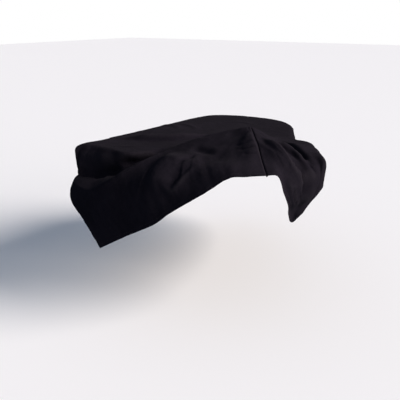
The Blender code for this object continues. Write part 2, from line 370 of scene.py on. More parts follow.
@dataclass(frozen=True)
class Fold:
    """A soft ridge (depth above 0) or trough (below 0) along a bent line."""

    name: str
    width: float  # from the line to where a round fold is down to about a third
    depth: float
    line: tuple[Point, Point, Point]
    right_width: float | None = None  # on the right of someone who walks the line, where it differs
    crest: Crest = Crest.ROUND

    LINE_POINTS: ClassVar[int] = 17  # corners of the bent line that distances are measured to
    REACH: ClassVar[float] = 3.2  # in widths, past which the fold is lost in the cloth
    RUN_OUT: ClassVar[float] = 0.32  # share of the line over which each end runs out
    END_DEPTH: ClassVar[float] = 0.12  # share of the depth at the line's very ends
    PINCH: ClassVar[float] = 0.3  # in widths, how far a pinched crest is rounded
    PINCH_SLOPE: ClassVar[float] = 1.5

    def lift(self, points: np.ndarray) -> np.ndarray:
        """Works out how far this fold lifts each point.

        Args:
            points: Places on the cloth, in the last axis of the array.

        Returns:
            The lift of each place, with the array's other axes.
        """
        line = evenly(self.line, np.linspace(0, 1, self.LINE_POINTS))
        right_width = self.right_width or self.width
        reach = self.REACH * max(self.width, right_width)
        low, high = line.min(axis=0) - reach, line.max(axis=0) + reach
        near = ((points > low) & (points < high)).all(axis=-1)
        away, share, to_right = distance_to_line(points[near], line)
        across = away / np.where(to_right, right_width, self.width)
        full = smooth_step(np.minimum(share, 1 - share) / self.RUN_OUT)
        lifted = np.zeros(points.shape[:-1])
        lifted[near] = self.depth * self._profile(across) * (self.END_DEPTH + (1 - self.END_DEPTH) * full)
        return lifted

    def _profile(self, across: np.ndarray) -> np.ndarray:
        """Gives the share of the depth at each distance across the line.

        Args:
            across: Distances from the line, in widths.

        Returns:
            The shares, 1 on the line itself.
        """
        if self.crest is Crest.ROUND:
            return np.exp(-(across**2))
        return np.exp(-(np.sqrt(across**2 + self.PINCH**2) - self.PINCH) * self.PINCH_SLOPE)


FOLDS = (
    # The bass cheek, the front edge's ridge and what hangs below it.
    Fold(
        "cheek_shoulder", width=0.056, depth=0.036,
        line=((-0.700, 0.155, 0.905), (-0.520, 0.172, 0.908), (-0.330, 0.168, 0.935)),
    ),
    Fold(
        "cheek_trough", width=0.034, depth=-0.042,
        line=((-0.720, 0.090, 0.800), (-0.500, 0.125, 0.800), (-0.255, 0.145, 0.880)),
    ),
    Fold(
        "slit", width=0.026, right_width=0.045, depth=-0.050,
        line=((-0.340, 0.160, 0.895), (-0.215, 0.200, 0.920), (-0.095, 0.330, 0.962)),
    ),
    Fold(
        "ridge_crest", width=0.013, depth=0.014, crest=Crest.PINCHED,
        line=((-0.450, -0.030, 0.750), (-0.160, 0.010, 0.885), (-0.030, 0.215, 0.985)),
    ),
    Fold(
        "small_roll", width=0.022, right_width=0.060, depth=0.010,
        line=((-0.021, 0.121, 0.937), (0.034, 0.004, 0.856), (0.004, -0.042, 0.734)),
    ),
    # The rolls, dents and swells between that ridge and the thrown back corner.
    Fold(
        "drawn_valley", width=0.050, right_width=0.034, depth=-0.022,
        line=((0.020, 0.290, 0.995), (0.005, 0.115, 0.905), (0.040, -0.048, 0.770)),
    ),
    Fold(
        "drawn_roll", width=0.160, right_width=0.088, depth=0.050,
        line=((0.095, 0.300, 1.000), (0.095, 0.110, 0.900), (0.130, -0.045, 0.775)),
    ),
    Fold(
        "slack_roll", width=0.120, right_width=0.150, depth=0.030,
        line=((0.225, 0.270, 0.985), (0.225, 0.130, 0.910), (0.235, -0.010, 0.810)),
    ),
    Fold(
        "pit", width=0.022, depth=-0.020,
        line=((0.252, 0.270, 0.965), (0.220, 0.200, 0.930), (0.185, 0.150, 0.905)),
    ),
    Fold(
        "crescent_dent", width=0.030, right_width=0.060, depth=-0.018,
        line=((0.222, 0.180, 0.905), (0.246, 0.125, 0.858), (0.224, 0.045, 0.825)),
    ),
    Fold(
        "crescent_ridge", width=0.016, depth=0.013,
        line=((0.140, 0.060, 0.850), (0.240, 0.030, 0.830), (0.340, 0.180, 0.935)),
    ),
    Fold(
        "oval_dent", width=0.038, depth=-0.024,
        line=((0.130, 0.330, 1.005), (0.228, 0.328, 1.002), (0.355, 0.305, 0.998)),
    ),
    Fold(
        "centre_swell", width=0.160, right_width=0.090, depth=0.030,
        line=((0.165, 0.385, 1.045), (0.277, 0.205, 0.985), (0.385, 0.040, 0.885)),
    ),
    Fold(
        "hem_swell", width=0.090, depth=0.034,
        line=((0.300, 0.085, 0.905), (0.480, 0.170, 0.960), (0.664, 0.240, 0.980)),
    ),
    Fold(
        "under_apex", width=0.050, depth=-0.010,
        line=((0.270, 0.510, 1.080), (0.345, 0.520, 1.095), (0.430, 0.530, 1.100)),
    ),
    # The treble corner's fan of folds and its low tip.
    Fold(
        "first_valley", width=0.014, depth=-0.014,
        line=((0.480, 0.560, 1.097), (0.650, 0.455, 1.020), (0.770, 0.440, 0.935)),
    ),
    Fold(
        "first_step", width=0.016, right_width=0.022, depth=0.016,
        line=((0.600, 0.505, 1.055), (0.705, 0.465, 0.990), (0.795, 0.440, 0.920)),
    ),
    Fold(
        "first_ridge", width=0.018, right_width=0.075, depth=0.044,
        line=((0.500, 0.575, 1.096), (0.710, 0.478, 0.992), (0.850, 0.425, 0.868)),
    ),
    Fold(
        "second_valley", width=0.013, depth=-0.040,
        line=((0.520, 0.630, 1.085), (0.670, 0.600, 1.030), (0.780, 0.565, 0.980)),
    ),
    Fold(
        "second_ridge", width=0.014, right_width=0.030, depth=0.026,
        line=((0.530, 0.700, 1.060), (0.690, 0.625, 1.028), (0.800, 0.585, 0.970)),
    ),
    Fold(
        "third_valley", width=0.022, depth=-0.060,
        line=((0.450, 0.880, 1.015), (0.680, 0.695, 1.020), (0.805, 0.610, 0.975)),
    ),
    Fold(
        "bulge_crease", width=0.009, depth=-0.010,
        line=((0.788, 0.590, 0.977), (0.834, 0.586, 0.930), (0.846, 0.631, 0.860)),
    ),
    Fold(
        "tip_turn", width=0.140, right_width=0.030, depth=0.034,
        line=((0.761, 0.371, 0.966), (0.792, 0.380, 0.876), (0.758, 0.526, 0.698)),
    ),
    Fold(
        "tip_edge", width=0.055, right_width=0.110, depth=0.028,
        line=((0.800, 0.560, 0.985), (0.835, 0.550, 0.870), (0.795, 0.580, 0.720)),
    ),
    # The bank and the small puckers beside the corner seam.
    Fold(
        "seam_bank", width=0.010, right_width=0.055, depth=0.020,
        line=((0.400, 0.575, 1.120), (0.530, 0.440, 1.065), (0.640, 0.330, 1.015)),
    ),
    Fold(
        "upper_pucker", width=0.012, depth=-0.008,
        line=((0.400, 0.415, 1.054), (0.455, 0.425, 1.070), (0.500, 0.470, 1.081)),
    ),
    Fold(
        "middle_pucker", width=0.010, depth=-0.009,
        line=((0.455, 0.380, 1.045), (0.500, 0.385, 1.055), (0.545, 0.425, 1.062)),
    ),
    Fold(
        "lower_pucker", width=0.009, depth=-0.007,
        line=((0.510, 0.340, 1.035), (0.550, 0.345, 1.040), (0.590, 0.375, 1.040)),
    ),
    # The top's swell behind its front edge, and its long shallow creases.
    Fold(
        "top_swell", width=0.110, right_width=0.030, depth=0.040,
        line=((-0.600, 0.465, 0.973), (-0.330, 0.585, 0.975), (-0.110, 0.880, 0.977)),
    ),
    Fold(
        "top_roll", width=0.030, depth=0.009,
        line=((-0.700, 0.985, 0.973), (-0.620, 1.033, 0.973), (-0.460, 0.960, 0.974)),
    ),
    Fold(
        "top_tuck", width=0.024, depth=0.008,
        line=((-0.639, 1.141, 0.973), (-0.514, 1.114, 0.975), (-0.310, 1.010, 0.974)),
    ),
    Fold(
        "front_streak", width=0.016, depth=0.006,
        line=((-0.540, 0.260, 0.972), (-0.429, 0.295, 0.973), (-0.262, 0.404, 0.974)),
    ),
    Fold(
        "bass_streak", width=0.014, depth=0.005,
        line=((-0.586, 0.450, 0.973), (-0.605, 0.777, 0.973), (-0.513, 1.075, 0.974)),
    ),
    Fold(
        "tail_streak", width=0.014, depth=0.005,
        line=((-0.409, 1.194, 0.974), (-0.288, 1.432, 0.974), (-0.021, 1.411, 0.974)),
    ),
    Fold(
        "apex_streak", width=0.014, depth=-0.004,
        line=((-0.182, 0.563, 0.975), (0.150, 0.463, 1.073), (0.313, 0.565, 1.118)),
    ),
)


@dataclass(frozen=True)
class Flute:
    """A soft upright fold of a drop that hangs plainly, deepest at the hem."""

    after: str  # the lid spot it follows
    share: float  # of the way to the next one
    width: float
    depth: float


FLUTES = (
    Flute("bent_side", share=0.45, width=0.060, depth=-0.020),
    Flute("bent_back", share=0.30, width=0.050, depth=0.018),
    Flute("tail_turn", share=0.10, width=0.055, depth=-0.012),
    Flute("tail_treble", share=0.20, width=0.050, depth=0.014),
    Flute("tail_middle", share=0.60, width=0.060, depth=-0.014),
    Flute("tail_bass", share=0.55, width=0.055, depth=0.014),
    Flute("tail_corner", share=0.60, width=0.060, depth=-0.012),
    Flute("bass_back", share=0.15, width=0.055, depth=0.016),
    Flute("bass_back", share=0.62, width=0.060, depth=-0.020),
    Flute("bass_middle", share=0.20, width=0.060, depth=0.016),
    Flute("bass_middle", share=0.75, width=0.055, depth=-0.018),
    Flute("bass_front", share=0.35, width=0.055, depth=0.014),
)


@dataclass(frozen=True)
class TensionFan:
    """Fine folds that run out from a point where the cloth is held or pushed up."""

    name: str
    centre: Point
    facing: Point  # the way out of the cloth there
    reach: float  # distance at which the folds are highest
    height: float
    folds_a_turn: float
    seed: float

    WANDER: ClassVar[float] = 3.0  # changes along a fold, a metre
    FINE_TURNS: ClassVar[float] = 2.3  # finer folds for each fold
    FINE_WANDER: ClassVar[float] = 5.0
    FINE_HEIGHT: ClassVar[float] = 0.5  # share of the height

    def lift(self, points: np.ndarray) -> np.ndarray:
        """Works out how far the fan lifts each point.

        Args:
            points: Places on the cloth, in the last axis of the array.

        Returns:
            The lift of each place.
        """
        out = unit(np.array(self.facing))
        across = unit(np.cross(out, (0.0, 0.0, 1.0)))
        up = np.cross(across, out)
        away = points - np.array(self.centre)
        x, y = away @ across, away @ up
        distance = np.hypot(x, y)
        turn = np.arctan2(y, x) / (2 * math.pi) * self.folds_a_turn
        swell = (distance / self.reach) ** 2 * np.exp(2 - 2 * distance / self.reach)
        nearness = np.exp(-(((away @ out) / self.reach) ** 2))
        waves = ripple(turn, distance * self.WANDER, self.seed)
        fine = ripple(turn * self.FINE_TURNS, distance * self.FINE_WANDER, self.seed + 1)
        return self.height * swell * nearness * (waves + self.FINE_HEIGHT * fine)


FANS = (
    TensionFan(
        "apex_fan", reach=0.30, height=0.0050, folds_a_turn=34, seed=3.0,
        centre=(0.387, 0.620, 1.136), facing=(0.45, -0.60, 0.66),
    ),
    TensionFan(
        "cheek_fan", reach=0.26, height=0.0016, folds_a_turn=24, seed=11.0,
        centre=(-0.640, 0.060, 0.760), facing=(-0.10, -0.85, 0.50),
    ),
    TensionFan(
        "lid_corner_fan", reach=0.18, height=0.0030, folds_a_turn=26, seed=17.0,
        centre=(-0.700, 0.170, 0.960), facing=(-0.30, -0.60, 0.74),
    ),
)


@dataclass(frozen=True)
class Unevenness:
    """What no named fold gives the cloth: hanging waves, crumples and the top seam's puckers."""

    wave: float = 0.0050  # height of the upright waves low on the drops
    wave_starts: float = 0.03  # below the top panel's seam
    wave_grows: float = 0.30  # the way down over which it grows
    wave_size: tuple[float, float] = (0.085, 0.60)  # round the cover and down it
    fine_wave: float = 0.5  # share of the height
    fine_wave_size: tuple[float, float] = (0.040, 0.35)
    lying_crumple: float = 0.0007
    hanging_crumple: float = 0.0013
    crumple_size: Point = (0.05, 0.05, 0.07)
    fine_crumple: float = 0.6  # share of the height
    fine_crumple_size: Point = (0.022, 0.026, 0.020)
    seam: float = 0.0012  # depth of the top panel's seam
    seam_width: float = 0.0032
    pucker: float = 0.0010
    pucker_size: float = 0.016
    pucker_reach: float = 0.012

    def lift(self, points: np.ndarray, around: np.ndarray, down: np.ndarray, lying: np.ndarray) -> np.ndarray:
        """Works out how far the cloth's unevenness lifts each point.

        Args:
            points: Places on the cloth, in the last axis of the array.
            around: Each place's way round the cover.
            down: Each place's way down from the top panel's seam.
            lying: Whether the cloth lies flat there.

        Returns:
            The lift of each place.
        """
        waves = ripple(around / self.wave_size[0], down / self.wave_size[1], seed=5)
        fine = ripple(around / self.fine_wave_size[0], down / self.fine_wave_size[1], seed=6)
        hanging = self.wave * smooth_step((down - self.wave_starts) / self.wave_grows)
        x, y, z = np.moveaxis(points / np.array(self.crumple_size), -1, 0)
        crumple = ripple(x + z, y, seed=7)
        x, y, z = np.moveaxis(points / np.array(self.fine_crumple_size), -1, 0)
        crumple += self.fine_crumple * ripple(x, y + z, seed=8)
        crumpled = np.where(lying, self.lying_crumple, self.hanging_crumple) * crumple
        sewn = self.seam * np.exp(-((down / self.seam_width) ** 2))
        puckers = ripple(around / self.pucker_size, np.full(down.shape, 3.0), seed=9)
        puckers *= self.pucker * np.exp(-np.abs(down) / self.pucker_reach)
        return hanging * (waves + self.fine_wave * fine) + crumpled - sewn + puckers


class SeamSide(Enum):
    """The two sides of an upright seam, by the way that the columns count from it."""

    BEFORE = -1  # where the seam's turnings are laid
    AFTER = 1


@dataclass(frozen=True)
class UprightSeam:
    """A seam between two drops: a groove, gathered cloth beside it, and its turnings under one side."""

    groove: float = 0.0080  # depth
    groove_width: float = 0.0042
    gather: float = 0.0022
    gather_size: float = 0.017
    gather_reach: float = 0.020
    gather_starts: float = 0.006
    turning: float = 0.0014
    turning_starts: float = 0.002
    turning_step: float = 0.003
    turning_width: float = 0.016
    turning_edge: float = 0.004
    columns: int = 11  # of the cover, on each side, that the seam shapes
    run_in: float = 0.012  # below the top panel's seam

    def lift(self, away: np.ndarray, down: np.ndarray, number: int, side: SeamSide) -> np.ndarray:
        """Works out how far the cloth beside the seam stands out.

        Args:
            away: Distances from the seam.
            down: Each place's way down from the top panel's seam.
            number: Which seam this is, so that no two are gathered alike.
            side: The side that the places lie on.

        Returns:
            The lift of each place.
        """
        groove = self.groove * np.exp(-((away / self.groove_width) ** 2))
        gathers = ripple(down / self.gather_size, np.full(down.shape, float(number)), seed=13 + side.value)
        gathers *= self.gather * np.exp(-away / self.gather_reach) * smooth_step(away / self.gather_starts)
        if side is SeamSide.AFTER:
            return gathers - groove
        turnings = self.turning * smooth_step((away - self.turning_starts) / self.turning_step)
        turnings *= smooth_step((self.turning_width - away) / self.turning_edge)
        return gathers - groove + turnings


@dataclass
class DrapedCover:
    """The whole cover as one surface: columns round it and rows from its middle to its hem."""

    spacing: float = 0.0066  # between columns, where they are widest apart
    rings: int = 100  # rows of the top
    drop_rows: int = 52  # rows of a drop between the seam's and the hem's own
    rim_inset: float = 0.045  # where a plain side's top starts to turn over
    rim_rise: float = 0.002  # of the cloth above the lid's top, half way from there to the seam
    seam_drop: float = 0.008  # of the sewn edge below the lid's top, on the plain sides
    shoulder: float = 0.014  # how far plain cloth stands out as it turns over the lid's edge
    shoulder_drop: float = 0.100  # how far below the lid's top it stands out so
    side_hem: float = 0.535  # height of the hem on the plain sides
    side_flare: float = 0.045  # how far that hem stands out from its seam
    side_sag: float = 0.030  # of a section's lower point below the middle of its drop
    profile_points: int = 41  # on each line of a section
    steps_a_section: int = 60  # in which the way round the cover is measured
    rounded_rows: int = 10  # on each side of the seam, where the turn over the edge is rounded
    rounding_passes: int = 10
    rounding: float = 0.6  # share of the way to its neighbours that a place moves in a pass
    cheek: Point = (-0.520, 0.120, 0.880)  # the sunk place between the lid and the keyboard's bass end
    cheek_reach: float = 0.150
    cheek_easing: float = 0.5
    cheek_passes: int = 30
    passes_round: int = 6  # for each pass down the columns
    kept_rows: int = 12  # on each side of the seam, which the passes down leave alone
    edge_columns: tuple[float, ...] = (0.0020, 0.0045, 0.0080)  # beside a drop's sewn edges
    seam_rows: tuple[float, ...] = (0, 0.002, 0.0045, 0.008, 0.0125, 0.018, 0.025)
    hem_rows: tuple[float, ...] = (0.0330, 0.0285, 0.0262, 0.0240, 0.0215, 0.0160, 0.0090, 0.0035, 0.0012, 0)
    girth_row: int = 30  # below the seam, where the way round the drops is measured
    lying_from: float = 0.9  # upward part of a normal, above which the cloth lies flat
    lid_band: float = 0.02  # above the lid's top, in which such cloth lies on it
    lid_inset: float = 0.05  # from the seam, past which it does
    deepest_dip: float = 0.0008  # of cloth that lies on the lid
    rub_height: float = 0.0035  # of a crest that is fully rubbed
    unevenness: Unevenness = field(default_factory=Unevenness)
    upright_seam: UprightSeam = field(default_factory=UprightSeam)
    points: np.ndarray = field(init=False)  # columns x rows x 3
    normals: np.ndarray = field(init=False)
    flat: np.ndarray = field(init=False)  # columns x rows x 2, the same places on the flat cloth
    worn: np.ndarray = field(init=False)  # columns x rows, how rubbed the cloth is
    first: dict[str, int] = field(init=False)  # the first column of each drop

    def __post_init__(self) -> None:
        """Works the surface out."""
        sections = FRONT + TREBLE + self.plain_sections() + BASS_END
        at, self.first = self._columns(sections)
        base = np.array([self._rows_of(top, drop) for top, drop in zip(*self._profiles(sections, at))])
        base = self._cheek_eased(self._shoulder_rounded(base))
        normals = self._normals(base)
        lift = self._lift(base, normals)
        self.points = base + normals * lift[..., None]
        self.normals = self._normals(self.points)
        self.flat = self._flattened()
        self.worn = np.clip((lift - self._blurred(lift)) / self.rub_height, 0, 1)

    @property
    def seam_row(self) -> int:
        """The row that the top and the drops share."""
        return self.rings

    def plain_sections(self) -> tuple[Section, ...]:
        """Makes the sections of the sides that hang plainly, from the lid's outline.

        Returns:
            One section for each spot of the lid's sides.
        """
        spots = np.array([(s.x, s.y) for s in SIDES])
        before = np.vstack([TREBLE[-1].seam[:2], spots[:-1]])
        after = np.vstack([spots[1:], BASS_END[0].seam[:2]])
        along = unit(after - before)
        out = np.stack([along[:, 1], -along[:, 0]], axis=1)
        half_way = (self.shoulder + self.side_flare) / 2
        steps = (
            (-self.rim_inset, LID_TOP + self.rim_rise / 2),
            (-self.rim_inset / 2, LID_TOP + self.rim_rise),
            (0.0, LID_TOP - self.seam_drop),
            (self.shoulder, LID_TOP - self.shoulder_drop),
            (half_way, (LID_TOP + self.side_hem) / 2 - self.side_sag),
            (self.side_flare, self.side_hem),
        )
        made = []
        for spot, way in zip(SIDES, out):
            places = [(spot.x + way[0] * step, spot.y + way[1] * step, z) for step, z in steps]
            made.append(Section(spot.name, *places))
        return tuple(made)

    def _columns(self, sections: Sequence[Section]) -> tuple[np.ndarray, dict[str, int]]:
        """Spaces the columns evenly, with one on each sewn edge of a drop.

        Args:
            sections: The sections round the cover.

        Returns:
            Each column's place, counted in sections, and the first column of each drop.
        """
        fine = np.linspace(0, len(sections), self.steps_a_section * len(sections) + 1)
        steps = []
        for part in ("seam", "lower", "hem"):
            spots = np.array([getattr(s, part) for s in (*sections, sections[0])])
            steps.append(np.linalg.norm(np.diff(through(np.arange(len(spots)), spots, fine), axis=0), axis=1))
        lengths = np.concatenate([[0], np.cumsum(np.max(steps, axis=0))])
        names = [s.name for s in sections]
        treble_seam, tail_seam = names.index("corner_seam"), names.index("tail_middle")
        starts = {"front_drop": 0, "treble_drop": treble_seam, "bass_drop": tail_seam}
        stops = [*starts.values(), len(sections)]
        edge = np.array(self.edge_columns)
        at: list[float] = []
        first = {}
        for name, start, stop in zip(starts, stops, stops[1:]):
            first[name] = len(at)
            low, high = np.interp([start, stop], fine, lengths)
            inner = np.linspace(low + edge[-1], high - edge[-1], math.ceil((high - low) / self.spacing))
            spots = np.concatenate([[low], low + edge[:-1], inner, high - edge[-2::-1]])
            at += list(np.interp(spots, lengths, fine))
        return np.array(at), first

    def _profiles(self, sections: Sequence[Section], at: np.ndarray) -> tuple[np.ndarray, np.ndarray]:
        """Draws the top's and the drop's line in every column.

        Args:
            sections: The sections round the cover.
            at: Each column's place, counted in sections.

        Returns:
            The lines of the top, from its middle to the seam, and of the drops down to the hem.
        """
        shares = np.linspace(0, 1, self.profile_points)
        top, drop = [], []
        for s in (*sections, sections[0]):
            inner = evenly((PLATEAU, tuple(np.add(PLATEAU, s.rim) / 2), s.rim), shares)
            top.append(np.vstack([inner, evenly((s.rim, s.fall, s.seam), shares)[1:]]))
            drop.append(evenly((s.seam, s.upper, s.lower, s.hem), shares))
        places = np.arange(len(sections) + 1)
        return through(places, np.array(top), at), through(places, np.array(drop), at)

    def _rows_of(self, top: np.ndarray, drop: np.ndarray) -> np.ndarray:
        """Sets one column's rows, close together along the seam and the hem.

        Args:
            top: The column's line over the top.
            drop: Its line down the drop.

        Returns:
            The column's points from the middle of the top to the hem.
        """
        length = path_lengths(top)[-1]
        edge = np.array(self.seam_rows)
        inner = np.linspace(length, edge[-1], self.rings + 2 - len(edge))
        rings = resampled(top, length - np.concatenate([inner, edge[-2::-1]]))
        length = path_lengths(drop)[-1]
        hem = length - np.array(self.hem_rows)
        middle = np.linspace(edge[-1], hem[0], self.drop_rows + 2)[1:-1]
        rows = resampled(drop, np.concatenate([edge[1:], middle, hem]))
        return np.vstack([rings, rows])

    def _shoulder_rounded(self, base: np.ndarray) -> np.ndarray:
        """Rounds the turn over the lid's edge, where a column's line has a corner.

        Args:
            base: The surface's points.

        Returns:
            The points with the rows beside the seam moved.
        """
        rounded = base.copy()
        low, high = self.seam_row - self.rounded_rows, self.seam_row + self.rounded_rows
        for _ in range(self.rounding_passes):
            middle = rounded[:, low:high]
            before, after = rounded[:, low - 1 : high - 1], rounded[:, low + 1 : high + 1]
            gap_before = np.linalg.norm(middle - before, axis=-1, keepdims=True)
            gap_after = np.linalg.norm(after - middle, axis=-1, keepdims=True)
            chord = (before * gap_after + after * gap_before) / (gap_before + gap_after)
            rounded[:, low:high] = middle + (chord - middle) * self.rounding
        return rounded

    def _cheek_eased(self, base: np.ndarray) -> np.ndarray:
        """Softens the turns round the sunk bass cheek, where the sections meet at sharp angles.

        Args:
            base: The surface's points.

        Returns:
            The points with those round the cheek moved.
        """
        eased = base.copy()
        nearness = np.exp(-(((base - np.array(self.cheek)) / self.cheek_reach) ** 2).sum(axis=-1) ** 2)
        weight = self.cheek_easing * nearness[..., None]
        free = np.abs(np.arange(base.shape[1]) - self.seam_row) > self.kept_rows
        weight_down = weight * free[None, :, None]
        for step in range(self.cheek_passes):
            across = (np.roll(eased, 1, axis=0) + np.roll(eased, -1, axis=0)) / 2
            eased += weight * (across - eased)
            if step % self.passes_round == 0:
                down = (eased[:, :-2] + eased[:, 2:]) / 2
                eased[:, 1:-1] += weight_down[:, 1:-1] * (down - eased[:, 1:-1])
        return eased

    @staticmethod
    def _normals(grid: np.ndarray) -> np.ndarray:
        """Finds the outward normals of a grid that closes round itself.

        Args:
            grid: The points, columns x rows x 3.

        Returns:
            A unit normal for each point.
        """
        down = np.gradient(grid, axis=1)
        along = np.roll(grid, -1, axis=0) - np.roll(grid, 1, axis=0)
        normals = np.cross(down, along)
        normals[:, 0] = (0, 0, 1)
        return unit(normals)

    @staticmethod
    def _blurred(values: np.ndarray, passes: int = 6) -> np.ndarray:
        """Averages values with their neighbours on the grid.

        Args:
            values: One value for each place, columns x rows.
            passes: How often they are averaged.

        Returns:
            The blurred values.
        """
        for _ in range(passes):
            values = (np.roll(values, 1, axis=0) + np.roll(values, -1, axis=0) + 2 * values) / 4
            padded = np.pad(values, ((0, 0), (1, 1)), mode="edge")
            values = (padded[:, :-2] + padded[:, 2:] + 2 * values) / 4
        return values

    def _side_folds(self) -> list[Fold]:
        """Places the upright folds of the plain drops between their sections.

        Returns:
            One fold for each flute.
        """
        spots = {s.name: s for s in (*self.plain_sections(), BASS_END[0])}
        names = list(spots)
        made = []
        for flute in FLUTES:
            here, there = spots[flute.after], spots[names[names.index(flute.after) + 1]]
            upper, hem = (
                np.add(np.multiply(a, 1 - flute.share), np.multiply(b, flute.share))
                for a, b in ((here.upper, there.upper), (here.hem, there.hem))
            )
            line = (tuple(upper), tuple(hem), tuple(2 * hem - upper))
            made.append(Fold("flute", width=flute.width, depth=flute.depth, line=line))
        return made

    def _lift(self, base: np.ndarray, normals: np.ndarray) -> np.ndarray:
        """Adds up the folds, the fans, the seams and the cloth's own unevenness.

        Args:
            base: The smooth surface.
            normals: Its outward normals.

        Returns:
            How far each place moves along its normal.
        """
        down = self._distances_from_seam(base)
        girth = path_lengths(base[:, self.seam_row + self.girth_row])
        around = np.broadcast_to(girth[:, None], down.shape)
        lying = normals[..., 2] > self.lying_from
        lift = np.zeros(base.shape[:2])
        for shape in (*FOLDS, *self._side_folds(), *FANS):
            lift += shape.lift(base)
        lift += self.unevenness.lift(base, around, down, lying)
        lift += self._upright_seams(base, down)
        on_lid = lying & (base[..., 2] < LID_TOP + self.lid_band) & (down < -self.lid_inset)
        return np.where(on_lid, np.maximum(lift, -self.deepest_dip), lift)

    def _upright_seams(self, base: np.ndarray, down: np.ndarray) -> np.ndarray:
        """Shapes the cloth along the seams between the drops.

        Args:
            base: The smooth surface.
            down: Each place's way down from the top panel's seam.

        Returns:
            How far each place moves along its normal.
        """
        seam = self.upright_seam
        lift = np.zeros(base.shape[:2])
        drop = slice(self.seam_row, None)
        for number, column in enumerate(self.first.values()):
            for side in SeamSide:
                for k in range(1, seam.columns + 1):
                    at = (column + side.value * k) % len(base)
                    away = np.linalg.norm(base[at, drop] - base[column, drop], axis=-1)
                    lift[at, drop] += seam.lift(away, down[at, drop], number, side)
            lift[column, drop] = -seam.groove
        return lift * smooth_step(down / seam.run_in)

    def _distances_from_seam(self, points: np.ndarray) -> np.ndarray:
        """Measures each place's way down from the seam.

        Args:
            points: The surface's points.

        Returns:
            The distance of each place, below 0 on the top.
        """
        steps = np.linalg.norm(np.diff(points, axis=1), axis=-1)
        along = np.concatenate([np.zeros((len(points), 1)), np.cumsum(steps, axis=1)], axis=1)
        return along - along[:, self.seam_row : self.seam_row + 1]

    def _flattened(self) -> np.ndarray:
        """Lays every place out flat: the drops as a strip, the top round its middle.

        Returns:
            Each place's two coordinates on the flat cloth.
        """
        down = self._distances_from_seam(self.points)
        seam = self.points[:, self.seam_row]
        strip = np.stack([np.broadcast_to(path_lengths(seam)[:, None], down.shape), -down], axis=-1)
        heading = np.arctan2(seam[:, 1] - PLATEAU[1], seam[:, 0] - PLATEAU[0])
        out = down - down[:, :1]
        disc = np.stack([out * np.cos(heading)[:, None], out * np.sin(heading)[:, None]], axis=-1)
        on_top = np.arange(down.shape[1]) <= self.seam_row
        return np.where(on_top[None, :, None], disc, strip)


# --------------------------------------------------------------------------------------
# Finishes
# --------------------------------------------------------------------------------------


